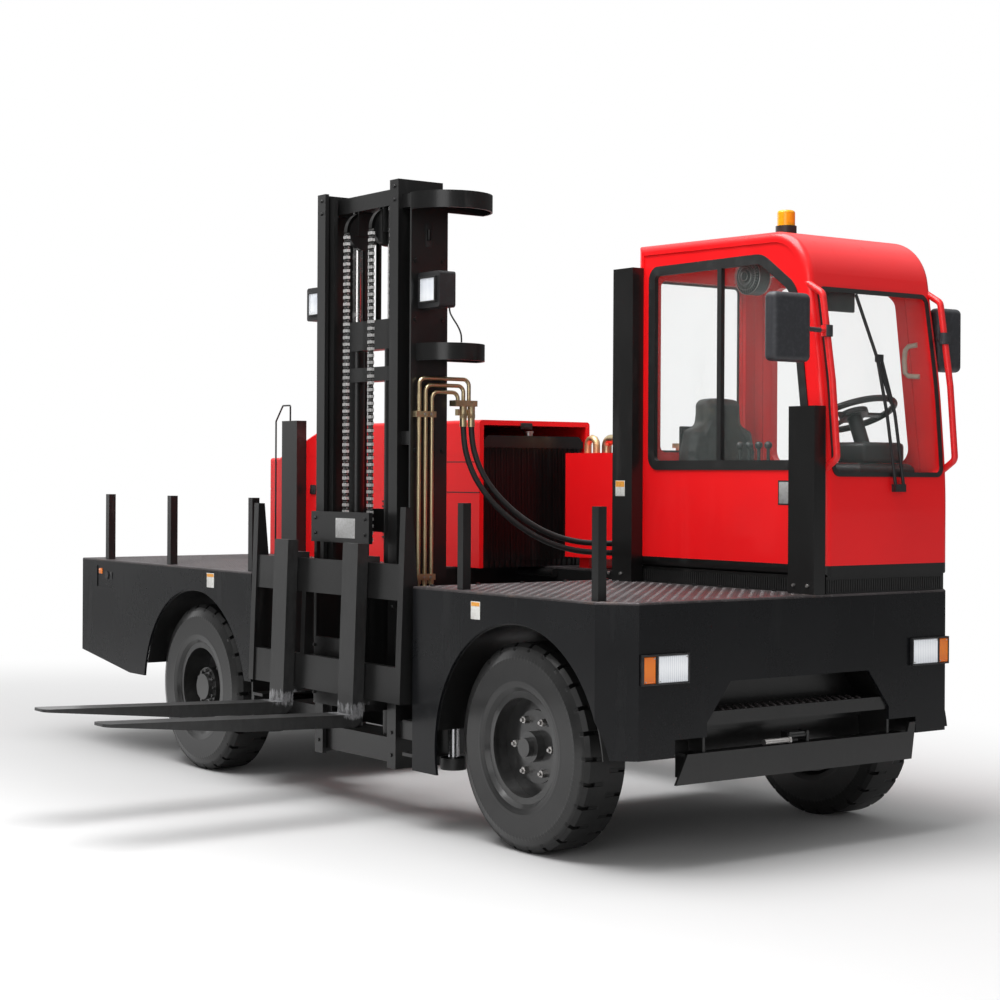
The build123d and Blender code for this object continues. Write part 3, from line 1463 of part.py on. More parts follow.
def lift_cylinder():
    """Two lift cylinders between the columns, joined by tie blocks."""
    y = chain_wheel_y
    low = mast_bottom + cross_height + overrun
    top = low + cylinder_length
    reach = cylinder_spacing + cylinder_radius
    whole = None
    for side in (-1, 1):
        x = mast_x + side * cylinder_spacing
        tube = ring_z(cylinder_radius, cylinder_bore, low, top, x, y)
        tube += ring_z(cylinder_bore, ram_radius + seat_gap, top - cylinder_radius, top, x, y)
        whole = tube if whole is None else whole + tube
    for z1, height in ((top, tie_height), (top - tie_drop, low_tie_height)):
        tie = block(mast_x - reach, mast_x + reach, y - tie_depth / 2, y + tie_depth / 2, z1 - height, z1)
        for side in (-1, 1):
            x = mast_x + side * cylinder_spacing
            tie -= rod_z(cylinder_bore, z1 - height - overrun, z1 + overrun, x, y)
            tie += ring_z(cylinder_bore, ram_radius + seat_gap, z1 - height, z1, x, y) if height == tie_height else []
        whole += tie
    return whole


def lift_rod():
    """Two chrome rams that lift the inner mast."""
    low = mast_bottom + 2 * cross_height
    top = mast_top - crosshead_drop - crosshead_height
    rams = [rod_z(ram_radius, low, top, mast_x + side * cylinder_spacing, chain_wheel_y) for side in (-1, 1)]
    return together(*rams)


def inner_mast():
    """Inner mast: two channels inside the outer ones, crosshead with chain wheels and bottom bar."""
    outer = mast_half_width - column_wall - slide_gap
    inner = mast_half_width - column_width - inner_lip
    y0 = mast_front_y + column_wall + slide_gap
    y1 = mast_back_y - column_wall - slide_gap
    z0, z1 = mast_bottom + inner_rise, mast_top - inner_top_drop
    whole = mast_channel(-1, outer, inner, y0, y1, inner_wall, z0, z1)
    whole += mast_channel(1, outer, inner, y0, y1, inner_wall, z0, z1)
    pad = (z0 + overrun, z0 + overrun + cross_height)
    for side in (-1, 1):
        edges = span(mast_x + side * (inner + inner_lip + wear_pad_inset), mast_x + side * (outer - wear_pad_inset))
        whole += block(*edges, y0 - wear_pad, y0, *pad)
        whole += block(*edges, y1, y1 + wear_pad, *pad)
    head_top = mast_top - crosshead_drop
    head_low = head_top - crosshead_height
    head_y = (chain_wheel_y - tie_depth / 2, chain_wheel_y + tie_depth / 2)
    whole += block(mast_x - outer + inner_wall, mast_x + outer - inner_wall, *head_y, head_low, head_top)
    whole += block(mast_x - inner, mast_x + inner, y1 - inner_wall, y1, z0, z0 + cross_height)
    half = chain_width / 2
    for side in (-1, 1):
        x = mast_x + side * chain_spacing
        whole += rod_x(chain_wheel_radius, x - half, x + half, chain_wheel_y, chain_wheel_z)
        reach = half + wheel_cheek
        whole += rod_x(wheel_axle_radius, x - reach, x + reach, chain_wheel_y, chain_wheel_z)
        for edge in (x - reach, x + half):
            whole += block(edge, edge + wheel_cheek, *head_y, chain_wheel_z - wheel_axle_radius, head_low)
    return whole


def chain_links(x, y, z0, z1):
    """One strand of leaf chain: plates side by side, waisted at every pitch."""
    half = chain_width / 2
    thick = chain_thickness / 2
    waist = thick * 3 / 5
    count = int((z1 - z0) / chain_pitch)
    front, back = [], []
    for index in range(count):
        z = z0 + chain_pitch * index
        for share, reach in ((0, waist), (1 / 4, thick), (3 / 4, thick)):
            front.append((y - reach, z + chain_pitch * share))
            back.append((y + reach, z + chain_pitch * share))
    front.append((y - waist, z0 + chain_pitch * count))
    back.append((y + waist, z0 + chain_pitch * count))
    front.append((y - thick, z1))
    back.append((y + thick, z1))
    return prism_x(front + back[::-1], x - half, x + half)


def lift_chains():
    """Two leaf chains over the inner mast's chain wheels."""
    half = chain_width / 2
    wheel = chain_wheel_radius + seat_gap
    outer = wheel + chain_thickness
    front_y = chain_wheel_y - (wheel + outer) / 2
    back_y = chain_wheel_y + (wheel + outer) / 2
    low = mast_bottom + carriage_top_rise
    parts = []
    for side in (-1, 1):
        x = mast_x + side * chain_spacing
        over = rod_x(outer, x - half, x + half, chain_wheel_y, chain_wheel_z)
        over -= rod_x(wheel, x - chain_width, x + chain_width, chain_wheel_y, chain_wheel_z)
        over &= block(x - chain_width, x + chain_width, front_y - outer, back_y + outer, chain_wheel_z, mast_top)
        front = chain_links(x, front_y, low, chain_wheel_z)
        back = block(x - half, x + half, back_y - chain_thickness / 2, back_y + chain_thickness / 2,
                     chain_wheel_z - chain_end_length, chain_wheel_z)
        parts.append(over + front + back)
    return together(*parts)


def mast_trolley():
    """Foot beam of the mast, side arms and the rollers that run in the reach rails."""
    web = mast_half_width - column_wall
    low = mast_bottom + 2 * seat_gap + overrun
    foot = block(mast_x - web, mast_x + web, mast_front_y + column_wall + slide_gap,
                 mast_back_y - column_wall - slide_gap, low, mast_bottom + cross_height + overrun)
    arm_low = rail_clearance + rail_height / 4
    arm_high = rail_clearance + rail_height * 3 / 4
    arm_y = (mast_front_y + overrun, mast_back_y + rail_depth)
    roller_radius = rail_height / 2 - rail_flange - 2 * pivot_clearance - 3
    roller_z = rail_clearance + rail_flange + seat_gap + roller_radius
    parts = [foot]
    side_gap = slide_gap + 2
    for face, way in ((-well_front - rail_depth - side_gap, 1), (-well_rear + rail_depth + side_gap, -1)):
        arm = block(*span(face, mast_x + way * mast_half_width), *arm_y, arm_low, arm_high)
        reach = rail_depth - rail_flange - slide_gap
        for y in (arm_y[0] + column_width, arm_y[1] - column_width):
            arm += rod_x(stub_radius, *span(face, face + way * reach), y, roller_z)
            arm += rod_x(roller_radius, *span(face + way * column_wall, face + way * reach), y, roller_z)
        parts.append(arm)
    return together(*parts)


def mast_pipes():
    """Hydraulic pipes down the side plate, bent over to the bulkhead block at their top."""
    x = side_plate_x + plate + pipe_gap + pipe_radius
    low = mast_bottom + pipe_bottom_rise
    top = mast_bottom + pipe_top_rise
    first_y = mast_front_y + pipe_first_inset
    parts = []
    whole = None
    for index in range(3):
        y = first_y + pipe_spacing * index
        high = top - pipe_run_step * index
        end_y = first_y + 2 * pipe_spacing + pipe_run - pipe_run_step * index
        pipe = tube_along([(x, y, low), (x, y, high), (x, end_y, high), (x, end_y, bulkhead_z)], pipe_radius, pipe_bend)
        whole = pipe if whole is None else whole + pipe
    block_y = (first_y + 2 * pipe_spacing + pipe_run - 3 * pipe_run_step, first_y + 2 * pipe_spacing + pipe_run + pipe_run_step)
    whole += block(side_plate_x + plate + seat_gap, x + bulkhead_block, *block_y, bulkhead_z - bulkhead_block,
                   bulkhead_z + seat_gap)
    for z in (low + bulkhead_block, top - 3 * bulkhead_block - pipe_drop):
        whole += block(side_plate_x + plate + seat_gap, x + pipe_radius + seat_gap, first_y - 2 * pipe_radius,
                       first_y + 2 * pipe_spacing + 2 * pipe_radius, z, z + bulkhead_block)
    parts.append(whole)
    return together(*parts)


def mast_lamps():
    """Two working lamps on the outer sides of the mast."""
    z = mast_bottom + lamp_centre_rise
    y0 = mast_front_y + lamp_front_inset
    parts = []
    for x0, x1 in ((side_plate_x + plate + seat_gap, side_plate_x + plate + seat_gap + lamp_width),
                   (mast_x - mast_half_width - seat_gap - lamp_width, mast_x - mast_half_width - seat_gap)):
        case = block(x0, x1, y0, y0 + lamp_depth, z - lamp_height / 2, z + lamp_height / 2)
        case = fillet(case.edges().filter_by(Axis.Y), lamp_lens_inset / 2)
        m = lamp_lens_inset
        lens = block(x0 + m, x1 - m, y0 - lamp_lens_stand, y0, z - lamp_height / 2 + m, z + lamp_height / 2 - m)
        parts.append(case + lens)
    return together(*parts)


def carriage():
    """Front of the lift carriage: stiles, top plate, lower cross plate and hinge lugs."""
    low = mast_bottom + cheek_rise
    y1 = cheek_front_y - seat_gap
    y0 = y1 - carriage_plate
    top = mast_bottom + carriage_top_rise + carriage_top_height
    whole = block(mast_x - carriage_plate_half, mast_x + carriage_plate_half, y0, y1,
                  mast_bottom + carriage_top_rise, top)
    whole += block(mast_x - cheek_inset - cheek_plate, mast_x + cheek_inset + cheek_plate, y0, y1, low,
                   low + carriage_low_height)
    for side in (-1, 1):
        stile = span(mast_x + side * cheek_inset, mast_x + side * (cheek_inset + cheek_plate))
        whole += block(*stile, y0, y1, low, top)
        x = mast_x + side * lug_spacing
        lug = block(x - lug_plate, x + lug_plate, lug_run, y0, tilt_pivot_z - lug_half_height, tilt_pivot_z + lug_half_height)
        whole += lug - rod_x(pivot_radius + pivot_clearance, x - 2 * lug_half_gap, x + 2 * lug_half_gap, tilt_pivot_y,
                             tilt_pivot_z)
    return whole


def carriage_cheeks():
    """Side plates of the carriage with the rollers that run in the inner mast."""
    low = mast_bottom + cheek_rise
    middle_y = (mast_front_y + mast_back_y) / 2
    inner, outer = cheek_inset, cheek_inset + cheek_plate
    parts = []
    for side in (-1, 1):
        cheek = block(*span(mast_x + side * inner, mast_x + side * outer), cheek_front_y, cheek_front_y + cheek_depth,
                      low, low + cheek_height)
        start = outer + carriage_roller_gap
        end = start + carriage_roller_width
        for z in (low + carriage_roller_radius + slide_gap, low + cheek_height - carriage_roller_radius - slide_gap):
            cheek += rod_x(stub_radius, *span(mast_x + side * outer, mast_x + side * end), middle_y, z)
            cheek += rod_x(carriage_roller_radius, *span(mast_x + side * start, mast_x + side * end), middle_y, z)
        parts.append(cheek)
    return together(*parts)


def tilted(shape):
    """Turn a piece of the fork frame to the photographed tilt."""
    return shape.rotate(Axis((0, tilt_pivot_y, tilt_pivot_z), (1, 0, 0)), -tilt_rest_deg)


def fork_frame():
    """Fork frame: two bars, two side guards and the hinge lugs."""
    half = fork_frame_half
    low = mast_bottom + low_bar_rise
    high = low + bar_spacing
    whole = block(mast_x - half, mast_x + half, -frame_bar, 0, high, high + frame_bar_height)
    whole += block(mast_x - half, mast_x + half, -frame_bar, 0, low, low + frame_bar_height)
    front = -guard_front
    back = front + guard_depth
    guard = [
        (front, low), (back, low), (back, low + guard_shoulder), (front + guard_top_depth, low + guard_height),
        (front, low + guard_height), (front, low + guard_height - guard_taper),
    ]
    for side in (-1, 1):
        whole += prism_x(guard, *span(mast_x + side * half, mast_x + side * (half - guard_width)))
        x = mast_x + side * lug_spacing
        for edge in (x - lug_half_gap - lug_plate, x + lug_half_gap):
            whole += block(edge, edge + lug_plate, 0, tilt_pivot_y + lug_run, tilt_pivot_z - 2 * tilt_pivot_y,
                           tilt_pivot_z + 2 * tilt_pivot_y)
        reach = lug_half_gap + lug_plate
        whole += rod_x(pivot_radius, x - reach, x + reach, tilt_pivot_y, tilt_pivot_z)
        whole += block(x - lug_half_gap, x + lug_half_gap, -frame_bar, 0, low + frame_bar_height, high)
    return tilted(whole)


def fork(x):
    """One forged fork: tapered blade with a rounded tip, shank and the hooks on the bars."""
    half = fork_width / 2
    face = -fork_stand_off
    back = face + fork_thickness
    blade = mast_bottom + fork_rise
    top = blade + fork_shank
    tip = face - fork_length
    side = [
        (back, blade - fork_thickness), (back, top), (face, top), (face, blade), (tip, blade),
        (tip, blade - fork_tip_thickness), (face - (1 - fork_taper_share) * fork_length, blade - fork_thickness),
    ]
    whole = prism_x(side, x - half, x + half)
    heel = whole.edges().filter_by(Axis.X).sort_by_distance((x, back, blade - fork_thickness))[0]
    whole = fillet(heel, fork_heel_radius)
    tips = whole.edges().filter_by(Axis.Z).group_by(Axis.Y)[0]
    whole = fillet(tips, fork_tip_radius)
    low_bar = mast_bottom + low_bar_rise
    high_bar = low_bar + bar_spacing + frame_bar_height
    whole += block(x - half, x + half, back, hook_lip, high_bar + seat_gap, high_bar + hook_height)
    whole += block(x - half, x + half, 4 * seat_gap, hook_lip, high_bar - hook_height, high_bar + hook_height)
    whole += block(x - half, x + half, back, hook_lip, low_bar - hook_height, low_bar - seat_gap)
    return tilted(whole)


def mast_hose(points):
    """One hydraulic hose as straight runs joined by arcs as large as the runs allow."""
    route = [Vector(*point) for point in points]
    radii = []
    for a, b, c in zip(route, route[1:], route[2:]):
        turn = math.radians((b - a).get_angle(c - b))
        radii.append(0.45 * min((b - a).length, (c - b).length) / math.tan(turn / 2))
    path = FilletPolyline(*route, radius=radii)
    tube = sweep(Plane(origin=path @ 0, z_dir=path % 0) * Circle(hose_radius), path=path)
    share = tube.volume / (math.pi * hose_radius ** 2 * path.length)
    print(f"hose length {path.length:.1f}, volume over section times length {share:.4f}")
    print("  radii", [round(radius) for radius in radii])
    return tube


def hose_glands():
    """Crimped fittings at both ends of the hoses."""
    mast_end, cab_end = [], []
    for route in (low_hose_route, high_hose_route):
        x, y, z = route[0]
        mast_end.append(rod_z(gland_radius, z, bulkhead_z - bulkhead_block, x, y))
        x, y, z = route[-1]
        cab_end.append(rod_x(gland_radius, x, -cab_length, y, z))
    return together(*mast_end), together(*cab_end)


def save(name, shape):
    """Move a piece to the shared frame and write it."""
    moved = [Pos(shift_x, shift_y, 0) * solid for solid in shape.solids()]
    export_step(together(*moved), f"parts/{name}.step")


def main():
    """Build and write every piece."""
    os.makedirs("parts", exist_ok=True)
    floor, front, rear, roof, far = cab_parts()
    mast_gland, cab_gland = hose_glands()
    near_y, far_y = wheel_inset, far_side_y - wheel_inset
    pieces = {
        "frame": frame(), "front_skirt": front_skirt(), "rear_skirt": rear_skirt(),
        "wheel_liners": together(wheel_liner(front_axle_x, front_jack_x, 0), wheel_liner(rear_axle_x, rear_jack_x, notch_rise)),
        "deck_plates": deck_plates(), "front_step": front_step(),
        "deck_posts": deck_posts(), "jack_tubes": jack_tubes(), "front_jack_rod": jack_rod(front_jack_x),
        "rear_jack_rod": jack_rod(rear_jack_x), "hood": hood(), "radiator": radiator(), "engine": engine(),
        "hydraulic_tank": hydraulic_tank(), "tank_fittings": together(tank_fittings(), cab_gland),
        "cab_floor": floor,
        "cab_side_panel": cab_side_panel(), "cab_front_panel": front, "cab_rear_panel": rear,
        "cab_roof": roof, "cab_far_frame": far, "cab_door": cab_door(), "door_glass": door_glass(),
        "cab_glass": cab_glass(), "window_seals": window_seals(), "seat": seat(),
        "steering_column": steering_column(), "cab_controls": cab_controls(), "mirrors": mirrors(),
        "wiper": wiper(), "beacon": beacon(),
        "head_lamps": lamp_pair(white_lamp_inset, white_lamp_width, far_lamp_shift),
        "indicators": lamp_pair(amber_lamp_inset, amber_lamp_width, far_amber_shift),
        "steer_axle": steer_axle(), "drive_axle": drive_axle(),
        "knuckle_near": knuckle(kingpin_inset, -1), "knuckle_far": knuckle(far_side_y - kingpin_inset, 1),
        "outer_mast": outer_mast(), "mast_trolley": mast_trolley(), "lift_cylinder": lift_cylinder(),
        "mast_pipes": together(mast_pipes(), mast_gland), "mast_lamps": mast_lamps(),
        "mast_hose_low": mast_hose(low_hose_route), "mast_hose_high": mast_hose(high_hose_route),
        "lift_rod": lift_rod(), "inner_mast": inner_mast(), "lift_chains": lift_chains(),
        "carriage": carriage(), "carriage_cheeks": carriage_cheeks(), "fork_frame": fork_frame(),
        "fork_front": fork(mast_x + fork_spacing), "fork_rear": fork(mast_x - fork_spacing),
    }
    for end, axle_x, rim in (("front", front_axle_x, front_rim()), ("rear", rear_axle_x, rear_rim())):
        for side, y, way in (("near", near_y, -1), ("far", far_y, 1)):
            pieces[f"{end}_tyre_{side}"] = tyre(axle_x, y)
            pieces[f"{end}_rim_{side}"] = placed_rim(rim, axle_x, y, way)
    for name, shape in pieces.items():
        save(name, shape)


main()
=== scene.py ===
"""Side loader forklift: finishes, fine detail, hoses, seat, floor, light and camera.

Sizes are in metres. Places are given in a layout frame and are moved into the shared frame by `at`: x = 0 on
the front face and rearwards negative, y = 0 on the load side skirt, z = 0 on the floor.
"""
import json
import logging
import math
from dataclasses import dataclass, field
from enum import Enum
from typing import Any, Optional, Sequence, Union

import bmesh
import bpy
from bpy.types import Material, Mesh, Node, NodeSocket, NodeTree, Object
from mathutils import Matrix, Vector

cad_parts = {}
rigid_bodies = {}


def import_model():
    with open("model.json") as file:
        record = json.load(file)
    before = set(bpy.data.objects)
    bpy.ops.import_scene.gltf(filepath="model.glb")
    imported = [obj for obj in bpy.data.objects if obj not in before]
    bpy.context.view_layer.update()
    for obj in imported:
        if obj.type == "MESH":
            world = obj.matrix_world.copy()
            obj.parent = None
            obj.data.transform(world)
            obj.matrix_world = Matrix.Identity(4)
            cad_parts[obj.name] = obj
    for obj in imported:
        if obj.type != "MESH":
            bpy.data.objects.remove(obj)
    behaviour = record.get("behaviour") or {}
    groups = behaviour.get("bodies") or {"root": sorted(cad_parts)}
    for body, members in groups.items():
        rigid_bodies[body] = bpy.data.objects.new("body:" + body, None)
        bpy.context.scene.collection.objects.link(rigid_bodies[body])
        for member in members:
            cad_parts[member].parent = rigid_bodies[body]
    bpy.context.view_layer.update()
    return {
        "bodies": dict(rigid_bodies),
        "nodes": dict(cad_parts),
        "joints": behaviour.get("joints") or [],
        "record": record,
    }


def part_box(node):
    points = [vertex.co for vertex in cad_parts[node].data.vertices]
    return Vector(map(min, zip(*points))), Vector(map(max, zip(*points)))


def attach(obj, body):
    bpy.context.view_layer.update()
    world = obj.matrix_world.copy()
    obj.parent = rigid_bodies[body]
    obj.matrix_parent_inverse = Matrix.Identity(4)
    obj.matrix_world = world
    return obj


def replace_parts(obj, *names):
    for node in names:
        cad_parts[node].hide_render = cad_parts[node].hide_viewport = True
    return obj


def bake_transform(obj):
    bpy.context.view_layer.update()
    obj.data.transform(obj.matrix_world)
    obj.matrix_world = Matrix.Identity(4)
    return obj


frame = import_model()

logging.basicConfig(level=logging.INFO, format="%(message)s")
log = logging.getLogger("side_loader")

Point = tuple[float, float, float]
Colour = tuple[float, float, float, float]
Box = tuple[Point, Point, float]

SHIFT = Vector((2.3225, -0.364, 0.0))


def at(x: float, y: float, z: float) -> Vector:
    """A layout place as a point of the shared frame."""
    return Vector((x, y, z)) + SHIFT


def grey(level: float, warm: float = 0.0) -> Colour:
    """A grey, a little warmer or cooler."""
    return (level * (1 + warm), level, level * (1 - warm), 1.0)


# ---------------------------------------------------------------- shader maths


class Value:
    """A number of a shader tree that Python expressions can use; each operator adds its Math node."""

    def __init__(self, shader: "Tree", socket: NodeSocket) -> None:
        """Keeps the tree and the socket."""
        self.shader = shader
        self.socket = socket

    def join(self, operation: str, first: Any, second: Any = None) -> "Value":
        """Adds one Math node.

        Args:
            operation: Name of the Math operation.
            first: First number or value.
            second: Second number or value, if the operation has one.

        Returns:
            The node's result.
        """
        inputs = {0: first} if second is None else {0: first, 1: second}
        node = self.shader.node("ShaderNodeMath", {"operation": operation}, inputs)
        return Value(self.shader, node.outputs[0])

    def __add__(self, other: Any) -> "Value":
        """Sum."""
        return self.join("ADD", self, other)

    def __radd__(self, other: Any) -> "Value":
        """Sum with a plain number first."""
        return self.join("ADD", other, self)

    def __sub__(self, other: Any) -> "Value":
        """Difference."""
        return self.join("SUBTRACT", self, other)

    def __rsub__(self, other: Any) -> "Value":
        """Difference with a plain number first."""
        return self.join("SUBTRACT", other, self)

    def __mul__(self, other: Any) -> "Value":
        """Product."""
        return self.join("MULTIPLY", self, other)

    def __rmul__(self, other: Any) -> "Value":
        """Product with a plain number first."""
        return self.join("MULTIPLY", other, self)

    def __pow__(self, other: Any) -> "Value":
        """Power."""
        return self.join("POWER", self, other)

    def __abs__(self) -> "Value":
        """Size without its sign."""
        return self.join("ABSOLUTE", self)

    def sine(self) -> "Value":
        """Sine of the value in radians."""
        return self.join("SINE", self)

    def between(self, start: float, end: float, first: float = 0.0, last: float = 1.0) -> "Value":
        """Moves smoothly from one level to another.

        Args:
            start: Where the move starts.
            end: Where it ends.
            first: Level up to the start.
            last: Level from the end on.

        Returns:
            The level.
        """
        node = self.shader.node(
            "ShaderNodeMapRange", {"interpolation_type": "SMOOTHSTEP"},
            {0: self, 1: start, 2: end, 3: first, 4: last},
        )
        return Value(self.shader, node.outputs[0])

    def above(self, edge: float, width: float) -> "Value":
        """Rises smoothly from 0 to 1 over a width round an edge."""
        return self.between(edge - width / 2, edge + width / 2)


class Tree:
    """A node tree, built with few words."""

    def __init__(self, tree: NodeTree) -> None:
        """Keeps the tree and empties it."""
        self.tree = tree
        tree.nodes.clear()

    def node(self, kind: str, settings: Optional[dict] = None, inputs: Optional[dict] = None) -> Node:
        """Adds a node.

        Args:
            kind: The node's type.
            settings: Its own settings, which are set first.
            inputs: Values or links of its sockets, by name or place.

        Returns:
            The new node.
        """
        node = self.tree.nodes.new(kind)
        for key, setting in (settings or {}).items():
            setattr(node, key, setting)
        for key, given in (inputs or {}).items():
            if isinstance(given, Value):
                self.tree.links.new(given.socket, node.inputs[key])
            elif isinstance(given, NodeSocket):
                self.tree.links.new(given, node.inputs[key])
            else:
                node.inputs[key].default_value = given
        return node


class Shader(Tree):
    """One material's tree."""

    def __init__(self, name: str) -> None:
        """Starts an empty material.

        Args:
            name: The material's name.
        """
        self.material = bpy.data.materials.new(name)
        self.material.use_nodes = True
        super().__init__(self.material.node_tree)
        self.place = self.node("ShaderNodeTexCoord").outputs["Object"]

    def scaled(self, scale: Point, offset: Point = (0.0, 0.0, 0.0)) -> NodeSocket:
        """Stretches the piece's coordinates.

        Args:
            scale: The stretch along each axis.
            offset: A move before it.

        Returns:
            The stretched coordinates.
        """
        moved = self.node("ShaderNodeVectorMath", {"operation": "ADD"}, {0: self.place, 1: offset})
        scaled = self.node("ShaderNodeVectorMath", {"operation": "MULTIPLY"}, {0: moved.outputs[0], 1: scale})
        return scaled.outputs[0]

    def noise(self, scale: float, detail: float = 3.0, rough: float = 0.55, place: Any = None) -> Value:
        """Soft noise between 0 and 1.

        Args:
            scale: Cells to a metre.
            detail: Finer layers.
            rough: How strong the finer layers are.
            place: Coordinates, the piece's own if left out.

        Returns:
            The noise as a value.
        """
        where = self.place if place is None else place
        node = self.node(
            "ShaderNodeTexNoise", {}, {"Vector": where, "Scale": scale, "Detail": detail, "Roughness": rough}
        )
        return Value(self, node.outputs[0])

    def cells(self, scale: float) -> Value:
        """Distance to the nearest cell centre, for grain and stipple.

        Args:
            scale: Cells to a metre.

        Returns:
            The distance as a value.
        """
        node = self.node("ShaderNodeTexVoronoi", {"feature": "F1"}, {"Vector": self.place, "Scale": scale})
        return Value(self, node.outputs["Distance"])

    def axis(self, index: int, offset: Point = (0.0, 0.0, 0.0)) -> Value:
        """One coordinate of the piece, from a moved origin."""
        split = self.node("ShaderNodeSeparateXYZ", {}, {0: self.scaled((1.0, 1.0, 1.0), offset)})
        return Value(self, split.outputs[index])

    def blend(self, amount: Any, first: Any, second: Any) -> NodeSocket:
        """Mixes two colours by an amount."""
        node = self.node("ShaderNodeMix", {"data_type": "RGBA"}, {0: amount, 6: first, 7: second})
        return node.outputs[2]

    def bump(
        self, height: Value, depth: float, strength: float = 1.0, under: Any = None
    ) -> NodeSocket:
        """Turns a height into a normal.

        Args:
            height: The height field.
            depth: Its real depth in metres.
            strength: How much of it shows.
            under: A normal that it is laid on.

        Returns:
            The normal.
        """
        inputs: dict[str, Any] = {"Height": height, "Distance": depth, "Strength": strength}
        if under is not None:
            inputs["Normal"] = under
        return self.node("ShaderNodeBump", {}, inputs).outputs[0]

    def surface(self, **sockets: Any) -> Material:
        """Ends the tree in one Principled shader.

        Args:
            **sockets: Its sockets, with underscores for spaces.

        Returns:
            The material.
        """
        named = {key.replace("_", " "): given for key, given in sockets.items()}
        shader = self.node("ShaderNodeBsdfPrincipled", {}, named)
        self.node("ShaderNodeOutputMaterial", {}, {0: shader.outputs[0]})
        return self.material


# -------------------------------------------------------------------- finishes


@dataclass(frozen=True)
class Finish:
    """A finish that makes its own material."""

    name: str

    def make(self) -> Material:
        """Builds the material."""
        raise NotImplementedError


@dataclass(frozen=True)
class PaintFinish(Finish):
    """Sprayed paint with a faint orange peel, dust low down and rubbed patches."""

    colour: Colour = (0.5, 0.5, 0.5, 1.0)
    shade: Colour = (0.4, 0.4, 0.4, 1.0)
    dust: Colour = (0.32, 0.3, 0.28, 1.0)
    roughness: float = 0.3
    coat: float = 0.3
    peel: float = 0.00012
    dusty: float = 0.15
    rubbed: float = 0.0
    mirror: float = 0.5

    def make(self) -> Material:
        """Builds the paint.

        Returns:
            The material.
        """
        shader = Shader(self.name)
        broad = shader.noise(1.7, 2.0)
        fine = shader.noise(38.0, 4.0, 0.65)
        low = 1.0 - shader.axis(2).above(0.45, 0.9)
        tone = shader.blend(broad.above(0.5, 0.5), self.colour, self.shade)
        film = (low * 0.8 + 0.2) * fine.above(0.52, 0.4) * self.dusty
        tone = shader.blend(film, tone, self.dust)
        streak = shader.noise(9.0, 5.0, 0.7, shader.scaled((1.0, 1.0, 0.16))).above(0.63, 0.12)
        tone = shader.blend(streak * self.rubbed, tone, (0.42, 0.41, 0.4, 1.0))
        rough = self.roughness + film * 0.6 + streak * 0.12 + (broad - 0.5) * 0.08
        normal = shader.bump(shader.noise(420.0, 2.0), self.peel, 0.5)
        normal = shader.bump(shader.noise(2.4, 1.0), 0.004, 0.12, normal)
        return shader.surface(
            Base_Color=tone, Roughness=rough, Coat_Weight=self.coat, Coat_Roughness=0.08, Normal=normal,
            Specular_IOR_Level=self.mirror,
        )


@dataclass(frozen=True)
class SteelFinish(Finish):
    """Bare or plated metal with brushed lines, stains and a touch of brown."""

    colour: Colour = (0.5, 0.5, 0.5, 1.0)
    stain: Colour = (0.3, 0.27, 0.24, 1.0)
    roughness: float = 0.3
    stained: float = 0.4
    brushed: Point = (60.0, 60.0, 600.0)
    metallic: float = 1.0

    def make(self) -> Material:
        """Builds the metal.

        Returns:
            The material.
        """
        shader = Shader(self.name)
        lines = shader.noise(1.0, 3.0, 0.6, shader.scaled(self.brushed))
        patch = shader.noise(14.0, 4.0, 0.62).above(0.56, 0.22)
        tone = shader.blend(patch * self.stained, self.colour, self.stain)
        tone = shader.blend(lines * 0.25, tone, self.stain)
        rough = self.roughness + patch * 0.22 + (lines - 0.5) * 0.14
        normal = shader.bump(lines, 0.0003, 0.35)
        return shader.surface(Base_Color=tone, Metallic=self.metallic, Roughness=rough, Normal=normal)


@dataclass(frozen=True)
class ForkFinish(Finish):
    """Black fork paint rubbed to grey steel at the heel, with fine scratches along the blade."""

    heel: float = -0.45

    def make(self) -> Material:
        """Builds the worn paint.

        Returns:
            The material.
        """
        shader = Shader(self.name)
        height, along = shader.axis(2), shader.axis(1)
        heel = (1.0 - abs(height - 0.475).above(0.05, 0.06)) * (1.0 - abs(along - self.heel).above(0.09, 0.08))
        flecks = shader.noise(46.0, 5.0, 0.7, shader.scaled((1.0, 1.0, 0.4)))
        scratch = shader.noise(9.0, 4.0, 0.6, shader.scaled((9.0, 0.5, 0.5)))
        worn = (heel * 0.38 + flecks * 0.55 + scratch * 0.3).above(0.81, 0.16)
        tone = shader.blend(flecks.above(0.5, 0.5) * 0.5, grey(0.011), grey(0.03))
        tone = shader.blend(worn, tone, (0.36, 0.36, 0.37, 1.0))
        normal = shader.bump(flecks, 0.0008, 0.4)
        return shader.surface(
            Base_Color=tone, Metallic=worn * 0.8, Roughness=0.34 + flecks * 0.14, Coat_Weight=0.2,
            Coat_Roughness=0.2, Normal=normal,
        )


